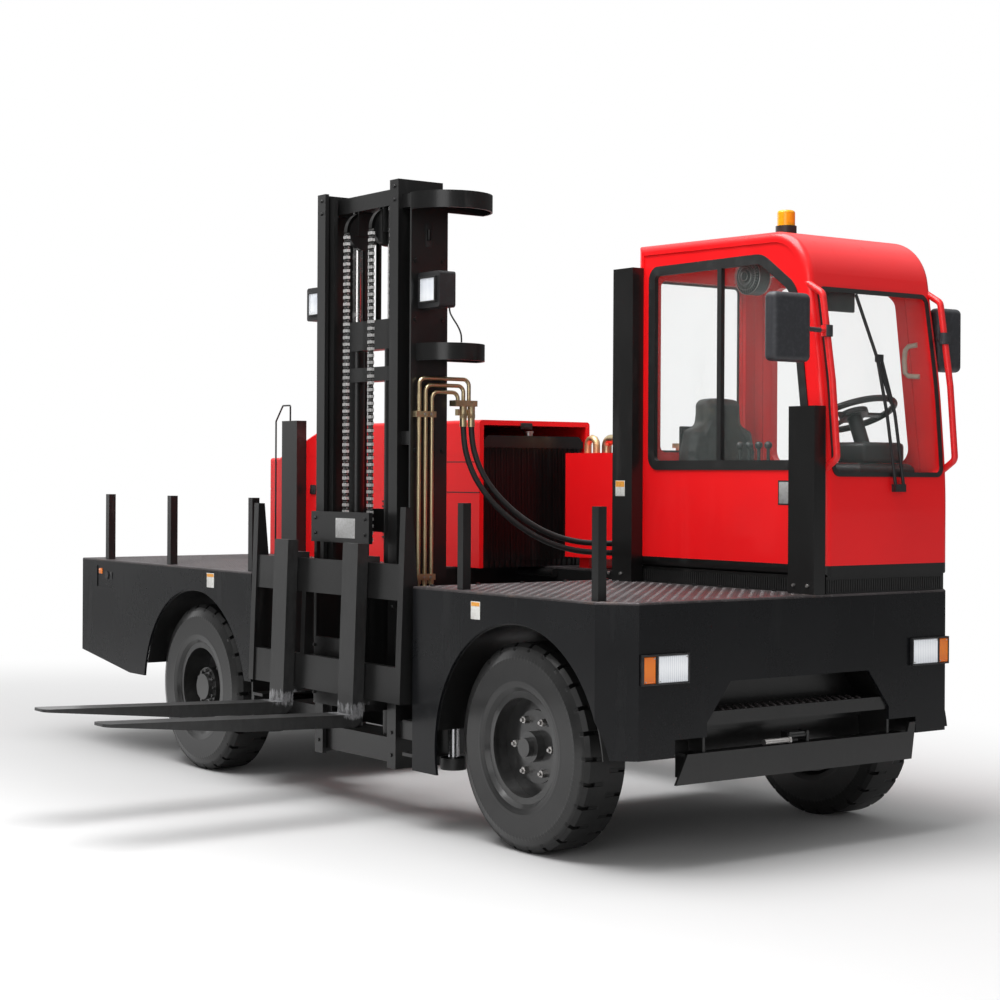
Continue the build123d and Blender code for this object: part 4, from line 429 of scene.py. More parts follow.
@dataclass(frozen=True)
class TwoToneFinish(Finish):
    """A node of two colours: the second colour lies inside the given boxes."""

    outside: Colour = (0.8, 0.01, 0.01, 1.0)
    inside: Colour = (0.02, 0.02, 0.02, 1.0)
    boxes: tuple[tuple[Point, Point], ...] = ()
    smooth: float = 0.3
    rough: float = 0.45
    metal: float = 0.0

    def make(self) -> Material:
        """Builds the two colours with a light grain.

        Returns:
            The material.
        """
        shader = Shader(self.name)
        axes = [shader.axis(index) for index in range(3)]
        mask: Any = 0.0
        for low, high in self.boxes:
            here: Any = 1.0
            for axis, start, end in zip(axes, low, high):
                here = axis.above(start, 0.0015) * (1.0 - axis.above(end, 0.0015)) * here
            mask = here if isinstance(mask, float) else mask.join("MAXIMUM", mask, here)
        fine = shader.noise(52.0, 4.0, 0.65)
        shade = tuple(level * 0.72 for level in self.outside[:3]) + (1.0,)
        scuff = tuple(level * 2.2 + 0.01 for level in self.inside[:3]) + (1.0,)
        first = shader.blend(fine.above(0.55, 0.4) * 0.5, self.outside, shade)
        second = shader.blend(fine.above(0.58, 0.3) * 0.4, self.inside, scuff)
        tone = shader.blend(mask, first, second)
        return shader.surface(
            Base_Color=tone, Roughness=self.smooth + mask * (self.rough - self.smooth) + fine * 0.08,
            Metallic=self.metal * (1.0 - mask), Normal=shader.bump(shader.cells(600.0), 0.0002, 0.35),
        )


@dataclass(frozen=True)
class CastFinish(Finish):
    """Rough casting under black paint, with road dust in its hollows."""

    def make(self) -> Material:
        """Builds the casting.

        Returns:
            The material.
        """
        shader = Shader(self.name)
        grit = shader.noise(190.0, 4.0, 0.7)
        broad = shader.noise(6.0, 3.0)
        tone = shader.blend(broad.above(0.5, 0.4) * 0.5, grey(0.02), grey(0.05, 0.05))
        tone = shader.blend(grit.above(0.62, 0.2) * 0.25, tone, (0.14, 0.12, 0.1, 1.0))
        return shader.surface(
            Base_Color=tone, Metallic=0.2, Roughness=0.55 + broad * 0.2, Normal=shader.bump(grit, 0.0009, 0.6)
        )


@dataclass(frozen=True)
class PlasticFinish(Finish):
    """Moulded plastic or rubber with a fine stipple and scuffs."""

    colour: Colour = (0.012, 0.012, 0.013, 1.0)
    scuff: Colour = (0.045, 0.045, 0.047, 1.0)
    roughness: float = 0.42
    stipple: float = 900.0
    depth: float = 0.00015

    def make(self) -> Material:
        """Builds the plastic.

        Returns:
            The material.
        """
        shader = Shader(self.name)
        grain = shader.cells(self.stipple)
        scuffs = shader.noise(33.0, 5.0, 0.7).above(0.6, 0.2)
        tone = shader.blend(scuffs * 0.35, self.colour, self.scuff)
        rough = self.roughness + scuffs * 0.18 + (shader.noise(4.0) - 0.5) * 0.1
        return shader.surface(Base_Color=tone, Roughness=rough, Normal=shader.bump(grain, self.depth, 0.5))


@dataclass(frozen=True)
class TyreFinish(Finish):
    """Tyre rubber: grooves between the lugs with painted shade in them, rings and bars on the wall and a little
    dust.
    """

    centre: Point = (0.0, 0.0, 0.42)

    def make(self) -> Material:
        """Builds the rubber round the wheel's own centre.

        Returns:
            The material.
        """
        shader = Shader(self.name)
        away = (-self.centre[0], -self.centre[1], -self.centre[2])
        along, across, up = (shader.axis(index, away) for index in range(3))
        radius = (along * along + up * up) ** 0.5
        angle = along.join("ARCTAN2", up, along)
        tread = radius.above(0.392, 0.012)
        side = across.above(0.0, 0.002) * 2.0 - 1.0
        lug = ((angle * 26.0).join("COSINE", angle * 26.0) * side * -1.0).above(0.865, 0.08)
        groove = lug * tread * abs(across).above(0.012, 0.004)
        rings = ((radius * 330.0).sine() * 0.5 + 0.5) * (1.0 - radius.above(0.285, 0.008)) * 0.35
        bars = (angle * 104.0).sine().above(0.4, 0.4) * radius.above(0.352, 0.004)
        bars = bars * (1.0 - radius.above(0.37, 0.004)) * 0.4
        dust = shader.noise(17.0, 4.0, 0.6)
        tone = shader.blend(dust.above(0.55, 0.3) * 0.35, grey(0.008), grey(0.018, 0.03))
        # Painted shade: the grooves between the lugs are darkened to near black.
        tone = shader.blend(groove * 0.8, tone, grey(0.001))
        normal = shader.bump(1.0 - groove, 0.008, 0.9)
        normal = shader.bump(rings + bars, 0.0022, 0.6, normal)
        normal = shader.bump(shader.noise(300.0, 2.0), 0.0002, 0.35, normal)
        return shader.surface(
            Base_Color=tone, Roughness=0.36 + dust * 0.12 + tread * 0.12, Coat_Weight=0.5 - tread * 0.4,
            Coat_Roughness=0.17, Specular_IOR_Level=0.3, Normal=normal,
        )


@dataclass(frozen=True)
class GlassFinish(Finish):
    """Toughened glass: a faint green tint, smears of dust, and a sheen at a flat angle."""

    tint: Colour = (0.60, 0.74, 0.70, 1.0)
    alpha: float = 0.03

    def make(self) -> Material:
        """Builds the glass.

        Returns:
            The material.
        """
        shader = Shader(self.name)
        smear = shader.noise(5.0, 5.0, 0.66, shader.scaled((1.0, 1.0, 0.4)))
        tone = shader.blend(smear * 0.3, self.tint, (0.7, 0.78, 0.76, 1.0))
        shader.material.surface_render_method = "BLENDED"
        pane = shader.node(
            "ShaderNodeBsdfPrincipled", {},
            {
                "Base Color": tone, "Roughness": 0.03 + smear * 0.05, "IOR": 1.5,
                "Alpha": self.alpha + smear.above(0.6, 0.3) * 0.015,
                "Normal": shader.bump(shader.noise(1.2), 0.002, 0.05),
            },
        )
        mirror = shader.node(
            "ShaderNodeBsdfPrincipled", {}, {"Base Color": grey(0.9), "Metallic": 1.0, "Roughness": 0.03}
        )
        edge = Value(shader, shader.node("ShaderNodeLayerWeight", {}, {"Blend": 0.5}).outputs["Facing"])
        both = shader.node(
            "ShaderNodeMixShader", {}, {0: edge ** 4.0 * 0.22 + 0.012, 1: pane.outputs[0], 2: mirror.outputs[0]}
        )
        shader.node("ShaderNodeOutputMaterial", {}, {0: both.outputs[0]})
        return shader.material


@dataclass(frozen=True)
class LensFinish(Finish):
    """Moulded lamp lens with fine upright ribs and a painted glow that stands in for the bright reflector
    behind it.
    """

    colour: Colour = (0.9, 0.3, 0.02, 1.0)
    deep: Colour = (0.6, 0.12, 0.0, 1.0)
    pitch: float = 260.0
    clear: float = 0.0
    # Strength of the painted glow; the lamp itself is off.
    lit: float = 0.12

    def make(self) -> Material:
        """Builds the lens.

        Returns:
            The material.
        """
        shader = Shader(self.name)
        ribs = (shader.axis(0) + shader.axis(1)) * (self.pitch * 2 * math.pi)
        wave = ribs.sine() * 0.5 + 0.5
        rows = (shader.axis(2) * 38.0).sine() * 0.5 + 0.5
        tone = shader.blend(wave * 0.35 + rows * 0.5, self.colour, self.deep)
        # Painted glow: the emission lights the unlit lens itself, standing in for its bright reflector.
        return shader.surface(
            Base_Color=tone, Roughness=0.12 + wave * 0.08, Coat_Weight=0.6, Coat_Roughness=0.05,
            Transmission_Weight=self.clear, Emission_Color=tone, Emission_Strength=self.lit,
            Normal=shader.bump(wave + rows * 0.5, 0.0006, 0.6),
        )


@dataclass(frozen=True)
class ChequerFinish(Finish):
    """Deck steel: dark paint rubbed bright by boots, with a faint red cast."""

    def make(self) -> Material:
        """Builds the deck steel.

        Returns:
            The material.
        """
        shader = Shader(self.name)
        boots = shader.noise(2.6, 4.0, 0.6)
        fine = shader.noise(60.0, 5.0, 0.7)
        dark, rubbed = (0.032, 0.026, 0.027, 1.0), (0.085, 0.075, 0.078, 1.0)
        tone = shader.blend(boots.above(0.48, 0.3) * 0.55, dark, rubbed)
        tone = shader.blend(fine.above(0.6, 0.15) * 0.3, tone, grey(0.2, 0.01))
        tone = shader.blend(shader.noise(8.0, 4.0).above(0.64, 0.1) * 0.25, tone, (0.16, 0.09, 0.06, 1.0))
        return shader.surface(
            Base_Color=tone, Metallic=0.45, Roughness=0.34 + fine * 0.2 + boots * 0.08,
            Normal=shader.bump(fine, 0.0005, 0.4),
        )


@dataclass(frozen=True)
class VinylFinish(Finish):
    """Seat vinyl with a leather grain."""

    def make(self) -> Material:
        """Builds the vinyl.

        Returns:
            The material.
        """
        shader = Shader(self.name)
        grain = shader.cells(420.0)
        creases = shader.noise(34.0, 4.0, 0.6)
        tone = shader.blend(creases.above(0.55, 0.3) * 0.5, grey(0.022), grey(0.055, 0.02))
        normal = shader.bump(grain, 0.0006, 0.55)
        normal = shader.bump(creases, 0.0012, 0.3, normal)
        return shader.surface(Base_Color=tone, Roughness=0.46 + grain * 0.16, Normal=normal)


@dataclass(frozen=True)
class LabelFinish(Finish):
    """A blank plate or sticker with faint dirt."""

    colour: Colour = (0.75, 0.75, 0.72, 1.0)
    metallic: float = 0.0

    def make(self) -> Material:
        """Builds the blank plate.

        Returns:
            The material.
        """
        shader = Shader(self.name)
        dirt = shader.noise(70.0, 5.0, 0.7)
        darker = (self.colour[0] * 0.72, self.colour[1] * 0.7, self.colour[2] * 0.66, 1.0)
        tone = shader.blend(dirt.above(0.55, 0.25) * 0.6, self.colour, darker)
        return shader.surface(
            Base_Color=tone, Metallic=self.metallic, Roughness=0.35 + dirt * 0.25,
            Normal=shader.bump(dirt, 0.0002, 0.4),
        )


class Slot(Enum):
    """The record's material slots, each with the finish that this scene gives it."""

    red_paint = PaintFinish(
        "cab_red_paint", colour=(0.90, 0.008, 0.011, 1.0), shade=(0.82, 0.006, 0.009, 1.0),
        dust=(0.62, 0.12, 0.10, 1.0), roughness=0.3, coat=0.25, dusty=0.07, mirror=0.35,
    )
    black_paint = PaintFinish(
        "frame_black_paint", colour=grey(0.0040), shade=grey(0.0075), dust=grey(0.04, 0.03), roughness=0.30,
        coat=0.10, peel=0.0002, dusty=0.09, rubbed=0.012,
    )
    chassis_paint = PaintFinish(
        "chassis_charcoal_paint", colour=(0.0038, 0.0041, 0.0050, 1.0), shade=(0.0065, 0.0069, 0.0080, 1.0),
        dust=grey(0.04, 0.02), roughness=0.27, coat=0.07, peel=0.00022, dusty=0.06, rubbed=0.006, mirror=0.2,
    )
    deck_steel = ChequerFinish("deck_steel")
    fork_steel = ForkFinish("fork_steel")
    chrome = SteelFinish("rod_chrome", colour=grey(0.72, 0.01), stain=grey(0.5), roughness=0.12, stained=0.2)
    zinc = SteelFinish(
        "yellow_zinc", colour=(0.66, 0.54, 0.33, 1.0), stain=(0.4, 0.32, 0.2, 1.0), roughness=0.3, stained=0.45
    )
    chain_steel = SteelFinish(
        "chain_steel", colour=grey(0.035, 0.01), stain=(0.01, 0.009, 0.008, 1.0), stained=0.8,
        brushed=(300.0, 300.0, 300.0),
    )
    rubber_black = PlasticFinish("rubber", colour=grey(0.008), scuff=grey(0.03), roughness=0.5, stipple=700.0)
    tyre = TyreFinish("tyre_rubber")
    rim_paint = PaintFinish(
        "rim_black_paint", colour=grey(0.009), shade=grey(0.017), dust=grey(0.08, 0.05), roughness=0.30,
        coat=0.55, dusty=0.2, rubbed=0.04,
    )
    glass = GlassFinish("cab_glass")
    # The clear lenses carry a stronger painted glow.
    lamp_clear = LensFinish(
        "clear_lens", colour=(0.90, 0.92, 0.94, 1.0), deep=(0.42, 0.45, 0.5, 1.0), pitch=95.0, clear=0.15,
        lit=0.3,
    )
    lamp_amber = LensFinish(
        "amber_lens", colour=(0.93, 0.24, 0.008, 1.0), deep=(0.72, 0.10, 0.0, 1.0), clear=0.15
    )
    black_plastic = PlasticFinish("black_plastic")
    seat_vinyl = VinylFinish("seat_vinyl")
    cast_black = CastFinish("cast_black")


class Extra(Enum):
    """Finishes of the small pieces that only this scene has."""

    mirror_glass = SteelFinish(
        "mirror_silver", colour=grey(0.86), stain=grey(0.6), roughness=0.04, stained=0.1,
        brushed=(3.0, 3.0, 3.0),
    )
    bolt_zinc = SteelFinish(
        "bolt_zinc", colour=grey(0.62, 0.02), stain=grey(0.3, 0.05), roughness=0.3, stained=0.5,
        brushed=(400.0, 400.0, 400.0),
    )
    brass = SteelFinish(
        "elbow_brass", colour=(0.72, 0.5, 0.27, 1.0), stain=(0.4, 0.26, 0.14, 1.0), roughness=0.35, stained=0.4,
        metallic=0.8,
    )
    white_label = LabelFinish("blank_white_label")
    amber_label = LabelFinish("blank_amber_label", colour=(0.82, 0.36, 0.05, 1.0))
    metal_label = LabelFinish("blank_metal_plate", colour=grey(0.5), metallic=0.6)
    beige_plastic = PlasticFinish("beige_handle", colour=(0.52, 0.46, 0.36, 1.0), scuff=(0.35, 0.3, 0.24, 1.0))
    dial_face = PlasticFinish("dial_face", colour=grey(0.03), scuff=grey(0.12), roughness=0.2)
    chain_plate = SteelFinish(
        "chain_plate", colour=grey(0.88, 0.01), stain=grey(0.4, 0.05), roughness=0.34, stained=0.2,
        brushed=(300.0, 300.0, 300.0), metallic=0.55,
    )


Coat = Union[Slot, Extra, Finish]


class Palette:
    """Makes each finish once and hands it out."""

    def __init__(self) -> None:
        """Starts with nothing made."""
        self.made: dict[str, Material] = {}

    def of(self, choice: Coat) -> Material:
        """Finds the material of a choice, built on first use.

        Args:
            choice: A slot, an extra finish or a finish of its own.

        Returns:
            The material.
        """
        finish: Finish = choice if isinstance(choice, Finish) else choice.value
        if finish.name not in self.made:
            self.made[finish.name] = finish.make()
        return self.made[finish.name]


PALETTE = Palette()


# ---------------------------------------------------------------- mesh helpers


class Form:
    """A mesh that is put together from plain closed shapes and then made one piece."""

    def __init__(self, name: str) -> None:
        """Starts an empty piece.

        Args:
            name: The piece's name.
        """
        self.name = name
        self.mesh = bmesh.new()

    def box(self, low: Vector, high: Vector, bevel: float = 0.0) -> "Form":
        """Adds a box.

        Args:
            low: One corner.
            high: The opposite corner.
            bevel: Width of the rounding on its edges.

        Returns:
            The form itself.
        """
        centre, size = (low + high) / 2, high - low
        made = bmesh.ops.create_cube(self.mesh, size=1.0, matrix=Matrix.Translation(centre) @ Matrix.Diagonal(
            (abs(size.x), abs(size.y), abs(size.z), 1.0)))
        if bevel > 0:
            edges = list(dict.fromkeys(edge for vertex in made["verts"] for edge in vertex.link_edges))
            bmesh.ops.bevel(self.mesh, geom=edges, offset=bevel, segments=2, profile=0.5, affect="EDGES")
        return self

    def rod(
        self, start: Vector, end: Vector, radius: float, sides: int = 16, tip: Optional[float] = None
    ) -> "Form":
        """Adds a round bar or cone from one point to another.

        Args:
            start: Middle of its first end.
            end: Middle of its other end.
            radius: Radius of the first end.
            sides: Sides of its section.
            tip: Radius of the other end, the same if left out.

        Returns:
            The form itself.
        """
        along = end - start
        turn = along.to_track_quat("Z", "Y").to_matrix().to_4x4()
        place = Matrix.Translation((start + end) / 2) @ turn
        bmesh.ops.create_cone(
            self.mesh, cap_ends=True, segments=sides, radius1=radius, radius2=radius if tip is None else tip,
            depth=along.length, matrix=place,
        )
        return self

    def tube(self, points: Sequence[Vector], radius: float, sides: int = 10, closed: bool = False) -> "Form":
        """Adds a round tube along points.

        Args:
            points: The middle line.
            radius: The tube's radius.
            sides: Sides of its section.
            closed: Whether the line ends where it starts.

        Returns:
            The form itself.
        """
        rings = []
        count = len(points)
        normal: Optional[Vector] = None
        for index, point in enumerate(points):
            before = points[index - 1] if index or closed else point
            after = points[(index + 1) % count] if index < count - 1 or closed else point
            along = (after - before).normalized()
            if normal is None:
                normal = along.orthogonal().normalized()
            normal = (normal - along * normal.dot(along)).normalized()
            side = along.cross(normal)
            rings.append([
                self.mesh.verts.new(point + radius * (normal * math.cos(step) + side * math.sin(step)))
                for step in (2 * math.pi * k / sides for k in range(sides))
            ])
        for index in range(count if closed else count - 1):
            first, second = rings[index], rings[(index + 1) % count]
            for k in range(sides):
                self.mesh.faces.new((first[k], first[(k + 1) % sides], second[(k + 1) % sides], second[k]))
        if not closed:
            self.mesh.faces.new(list(reversed(rings[0])))
            self.mesh.faces.new(rings[-1])
        return self

    def lathe(
        self, profile: Sequence[tuple[float, float]], centre: Vector, axis: Vector, steps: int = 48
    ) -> "Form":
        """Adds a closed profile turned round an axis.

        Args:
            profile: Pairs of radius and height.
            centre: Where the height is 0 on the axis.
            axis: The axis' direction.
            steps: Steps round the turn.

        Returns:
            The form itself.
        """
        turn = axis.to_track_quat("Z", "Y").to_matrix()
        rings = []
        for k in range(steps):
            angle = 2 * math.pi * k / steps
            across, along = math.cos(angle), math.sin(angle)
            rings.append([
                self.mesh.verts.new(centre + turn @ Vector((radius * across, radius * along, height)))
                for radius, height in profile
            ])
        size = len(profile)
        for k in range(steps):
            first, second = rings[k], rings[(k + 1) % steps]
            for index in range(size):
                after = (index + 1) % size
                self.mesh.faces.new((first[index], second[index], second[after], first[after]))
        return self

    def make(self, finish: Coat, body: str = "chassis", angle: float = 35.0) -> Object:
        """Turns the form into a piece of the scene.

        Args:
            finish: Its finish.
            body: The body that it rides on.
            angle: Edges sharper than this stay crisp.

        Returns:
            The piece.
        """
        bmesh.ops.recalc_face_normals(self.mesh, faces=self.mesh.faces)
        data = bpy.data.meshes.new(self.name)
        self.mesh.to_mesh(data)
        self.mesh.free()
        return settle(data, self.name, finish, body, angle)


def show(name: str, data: Any) -> Object:
    """Puts a new object in the scene.

    Args:
        name: Its name.
        data: Its mesh, curve, lamp or camera.

    Returns:
        The object.
    """
    holder = bpy.data.objects.new(name, data)
    bpy.context.scene.collection.objects.link(holder)
    return holder


def settle(data: Mesh, name: str, finish: Coat, body: str, angle: float = 35.0) -> Object:
    """Makes a piece of a mesh.

    Args:
        data: The mesh.
        name: The piece's name.
        finish: Its finish.
        body: The body that it rides on.
        angle: Edges sharper than this stay crisp.

    Returns:
        The piece.
    """
    data.materials.clear()
    data.materials.append(PALETTE.of(finish))
    data.shade_smooth()
    data.set_sharp_from_angle(angle=math.radians(angle))
    piece = show(name, data)
    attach(piece, body)
    log.info("made %s on %s", name, body)
    return piece


def evaluated(holder: Object) -> Mesh:
    """The plain mesh of an object as its modifiers leave it."""
    bpy.context.view_layer.update()
    return bpy.data.meshes.new_from_object(holder.evaluated_get(bpy.context.evaluated_depsgraph_get()))


def span(node: str) -> tuple[Vector, Vector]:
    """The two corners of a node's box."""
    low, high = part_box(node)
    return Vector(low), Vector(high)


def strand(name: str, route: Sequence[Point]) -> Object:
    """Lays a smooth curve that starts and ends on a route.

    Args:
        name: The curve's name.
        route: Its control points in the layout frame.

    Returns:
        The curve's object.
    """
    data = bpy.data.curves.new(name, "CURVE")
    data.dimensions = "3D"
    data.resolution_u = 12
    spline = data.splines.new("NURBS")
    spline.points.add(len(route) - 1)
    for point, place in zip(spline.points, route):
        point.co = (*at(*place), 1.0)
    spline.order_u = 3
    spline.use_endpoint_u = True
    return show(name, data)


def frame_bars(
    across: tuple[float, float], upright: tuple[float, float], width: float
) -> Sequence[tuple[float, float, float, float]]:
    """The four bars of a frame round an opening.

    Args:
        across: Start and end of the opening along the frame's first axis.
        upright: Its start and end along the second axis.
        width: Width of a bar.

    Returns:
        Start and end along both axes, for each bar.
    """
    (a0, a1), (b0, b1) = across, upright
    return (
        (a0 - width, a1 + width, b1, b1 + width), (a0 - width, a1 + width, b0 - width, b0),
        (a0 - width, a0, b0, b1), (a1, a1 + width, b0, b1),
    )


def blocks(name: str, boxes: Sequence[Box], finish: Coat, body: str = "chassis") -> Object:
    """Makes a piece of boxes.

    Args:
        name: The piece's name.
        boxes: Two layout corners and the width of the rounding, for each box.
        finish: Its finish.
        body: The body that it rides on.

    Returns:
        The piece.
    """
    form = Form(name)
    for low, high, bevel in boxes:
        form.box(at(*low), at(*high), bevel)
    return form.make(finish, body)


class Stamp(Enum):
    """The small shape that a pattern sets at each of its points, by its number of sides."""

    ROUND = 12
    HEX = 6
    LOZENGE = 4
    BOX = 0


class Facing(Enum):
    """Turns that point a stamp's height along an axis."""

    UP = (0.0, 0.0, 0.0)
    LOAD_SIDE = (math.pi / 2, 0.0, 0.0)
    FAR_SIDE = (-math.pi / 2, 0.0, 0.0)
    FRONT = (0.0, math.pi / 2, 0.0)


@dataclass
class Pattern:
    """Many copies of one small shape, set at points by a geometry tree."""

    name: str
    stamp: Stamp
    size: Point
    facing: Facing = Facing.UP
    chamfer: float = 0.8

    def tree(self, material: Material) -> tuple[NodeTree, dict[str, str]]:
        """Builds the tree.

        Args:
            material: The finish that the tree sets.

        Returns:
            The tree and the identifier of each of its named inputs.
        """
        group = bpy.data.node_groups.new(self.name, "GeometryNodeTree")
        face = group.interface
        face.new_socket("Points", in_out="INPUT", socket_type="NodeSocketGeometry")
        named = {
            name: face.new_socket(name, in_out="INPUT", socket_type="NodeSocketVector").identifier
            for name in ("Size", "Facing")
        }
        face.new_socket("Geometry", in_out="OUTPUT", socket_type="NodeSocketGeometry")
        tree = Tree(group)
        source = tree.node("NodeGroupInput").outputs
        if self.stamp is Stamp.BOX:
            shape = tree.node("GeometryNodeMeshCube")
        else:
            shape = tree.node("GeometryNodeMeshCone", {}, {
                "Vertices": self.stamp.value, "Radius Top": self.chamfer, "Radius Bottom": 1.0, "Depth": 1.0,
            })
        spin = tree.node("GeometryNodeInputNamedAttribute", {"data_type": "FLOAT"}, {"Name": "turn"})
        own = tree.node("ShaderNodeCombineXYZ", {}, {2: spin.outputs[0]})
        base = tree.node("FunctionNodeEulerToRotation", {}, {0: source["Facing"]})
        local = tree.node("FunctionNodeEulerToRotation", {}, {0: own.outputs[0]})
        both = tree.node(
            "FunctionNodeRotateRotation", {"rotation_space": "LOCAL"}, {0: base.outputs[0], 1: local.outputs[0]}
        )
        copies = tree.node("GeometryNodeInstanceOnPoints", {}, {
            "Points": source["Points"], "Instance": shape.outputs[0], "Rotation": both.outputs[0],
            "Scale": source["Size"],
        })
        real = tree.node("GeometryNodeRealizeInstances", {}, {0: copies.outputs[0]})
        coat = tree.node("GeometryNodeSetMaterial", {}, {"Geometry": real.outputs[0], "Material": material})
        tree.node("NodeGroupOutput", {}, {0: coat.outputs[0]})
        return group, named

    def set_at(
        self, places: Sequence[Vector], finish: Coat, body: str = "chassis",
        turns: Optional[Sequence[float]] = None,
    ) -> Object:
        """Sets the stamp at each place and makes the result one plain mesh.

        Args:
            places: Points in the shared frame.
            finish: The finish of the copies.
            body: The body that they ride on.
            turns: Own turn of each copy about its height, in radians.

        Returns:
            The finished piece.
        """
        points = bpy.data.meshes.new(self.name + "_points")
        points.from_pydata([tuple(place) for place in places], [], [])
        own = points.attributes.new("turn", "FLOAT", "POINT")
        own.data.foreach_set("value", turns or [0.0] * len(places))
        holder = show(self.name + "_holder", points)
        group, sockets = self.tree(PALETTE.of(finish))
        modifier = holder.modifiers.new("pattern", "NODES")
        modifier.node_group = group
        modifier[sockets["Size"]] = self.size
        modifier[sockets["Facing"]] = self.facing.value
        data = evaluated(holder)
        data.name = self.name
        if "turn" in data.attributes:
            data.attributes.remove(data.attributes["turn"])
        bpy.data.objects.remove(holder)
        bpy.data.meshes.remove(points)
        return settle(data, self.name, finish, body)


def ring(centre: Vector, radius: float, count: int) -> list[Vector]:
    """Points on an upright circle that faces the load side.

    Args:
        centre: The circle's middle.
        radius: Its radius.
        count: Number of points.

    Returns:
        The points.
    """
    return [
        centre + Vector((radius * math.cos(a), 0.0, radius * math.sin(a)))
        for a in (2 * math.pi * k / count for k in range(count))
    ]


# ----------------------------------------------------------------- camera, sky


@dataclass
class Studio:
    """Camera, lamps, sky and pale floor."""

    eye: Point = (8.0415, -5.077, 1.512)
    azimuth_deg: float = 53.84
    roll_deg: float = 0.308
    lens: float = 71.55
    horizon_shift: float = -0.0249
    floor_half: float = 60.0
    key_power: float = 640.0
    fill_power: float = 150.0
    sky_level: float = 0.36
    panel_level: float = 1.5
    overhead_ends: tuple[float, float] = (0.08, 0.75)
    overhead_least: float = 0.07
    panel_ends: tuple[float, float] = (-0.93, -0.80)

    def camera(self) -> None:
        """Sets the camera at the photograph's angle."""
        turn, roll = math.radians(self.azimuth_deg), math.radians(self.roll_deg)
        ahead = Vector((-math.sin(turn), math.cos(turn), 0.0))
        right, up = Vector((math.cos(turn), math.sin(turn), 0.0)), Vector((0.0, 0.0, 1.0))
        across = right * math.cos(roll) + up * math.sin(roll)
        above = up * math.cos(roll) - right * math.sin(roll)
        data = bpy.data.cameras.new("camera")
        data.lens, data.sensor_width, data.shift_y = self.lens, 36.0, self.horizon_shift
        data.clip_end = 200.0
        holder = show("camera", data)
        turned = Matrix((across, above, -ahead)).transposed().to_4x4()
        holder.matrix_world = Matrix.Translation(self.eye) @ turned
        bpy.context.scene.camera = holder

    def lamp(self, name: str, place: Point, aim: Point, size: float, power: float) -> None:
        """Adds one large soft lamp.

        Args:
            name: Its name.
            place: Where it stands.
            aim: The point that it shines at.
            size: Length of its side.
            power: Its power in watts.
        """
        data = bpy.data.lights.new(name, "AREA")
        data.shape, data.size, data.energy = "SQUARE", size, power
        look = (Vector(aim) - Vector(place)).to_track_quat("-Z", "Y")
        show(name, data).matrix_world = Matrix.Translation(place) @ look.to_matrix().to_4x4()

    def sky(self) -> None:
        """Makes a sky that lights evenly, looks white, and shows surfaces a bright top and one panel."""
        world = bpy.data.worlds.new("studio_sky")
        bpy.context.scene.world = world
        world.use_nodes = True
        tree = Tree(world.node_tree)
        path = tree.node("ShaderNodeLightPath").outputs
        coords = tree.node("ShaderNodeTexCoord").outputs["Generated"]
        split = tree.node("ShaderNodeSeparateXYZ", {}, {0: coords}).outputs
        overhead = Value(tree, split[2]).between(*self.overhead_ends, self.overhead_least, 1.0)
        panel = Value(tree, split[0]).between(*self.panel_ends, self.panel_level, 0.0)
        shown = overhead.join("MAXIMUM", overhead, panel)
        seen = overhead.join("MAXIMUM", path["Is Camera Ray"], path["Is Transmission Ray"])
        glossy = tree.node("ShaderNodeMix", {}, {0: path["Is Glossy Ray"], 2: self.sky_level, 3: shown})
        level = tree.node("ShaderNodeMix", {}, {0: seen, 2: glossy.outputs[0], 3: 1.0})
        back = tree.node("ShaderNodeBackground", {}, {0: grey(1.0), 1: level.outputs[0]})
        tree.node("ShaderNodeOutputWorld", {}, {0: back.outputs[0]})

    def floor(self) -> None:
        """Lays a pale floor that fades to white away from the machine, keeps its cast shadow and has a painted
        shadow pool round it.
        """
        half = self.floor_half
        data = bpy.data.meshes.new("floor")
        corners = ((-half, -half, 0.0), (half, -half, 0.0), (half, half, 0.0), (-half, half, 0.0))
        data.from_pydata(corners, [], [(0, 1, 2, 3)])
        shader = Shader("pale_floor")
        along, across = shader.axis(0), shader.axis(1)
        away = (along * along * 0.3 + across * across * 0.8) ** 0.5
        speck = shader.noise(6.0, 3.0)
        tone = shader.blend(speck * 0.2, grey(0.82), (0.78, 0.78, 0.79, 1.0))
        # Painted shadow: a dark grey pool is painted round the machine's footprint, on top of the cast shadow.
        shadow_pool_reach = (along * along * 0.27 + across * across * 1.05) ** 0.5
        tone = shader.blend((1.0 - shadow_pool_reach.above(1.75, 1.9)) * 0.55, tone, (0.34, 0.335, 0.335, 1.0))
        plain = shader.node("ShaderNodeBsdfPrincipled", {}, {"Base Color": tone, "Roughness": 0.9})
        white = shader.node("ShaderNodeEmission", {}, {0: grey(1.0), 1: 1.0})
        path = Value(shader, shader.node("ShaderNodeLightPath").outputs["Is Camera Ray"])
        mixed = shader.node(
            "ShaderNodeMixShader", {},
            {0: path * away.above(3.0, 2.4), 1: plain.outputs[0], 2: white.outputs[0]},
        )
        shader.node("ShaderNodeOutputMaterial", {}, {0: mixed.outputs[0]})
        data.materials.append(shader.material)
        show("floor", data)

    def build(self) -> None:
        """Sets up the whole studio."""
        bpy.context.scene.view_settings.view_transform = "Standard"
        self.camera()
        self.sky()
        self.floor()
        self.lamp("key_lamp", (0.8, -1.2, 6.6), (0.0, 0.0, 0.6), 5.0, self.key_power)
        self.lamp("fill_lamp", (7.0, -7.0, 3.5), (0.5, 0.0, 1.2), 5.0, self.fill_power)


# ----------------------------------------------------------------------- hoses


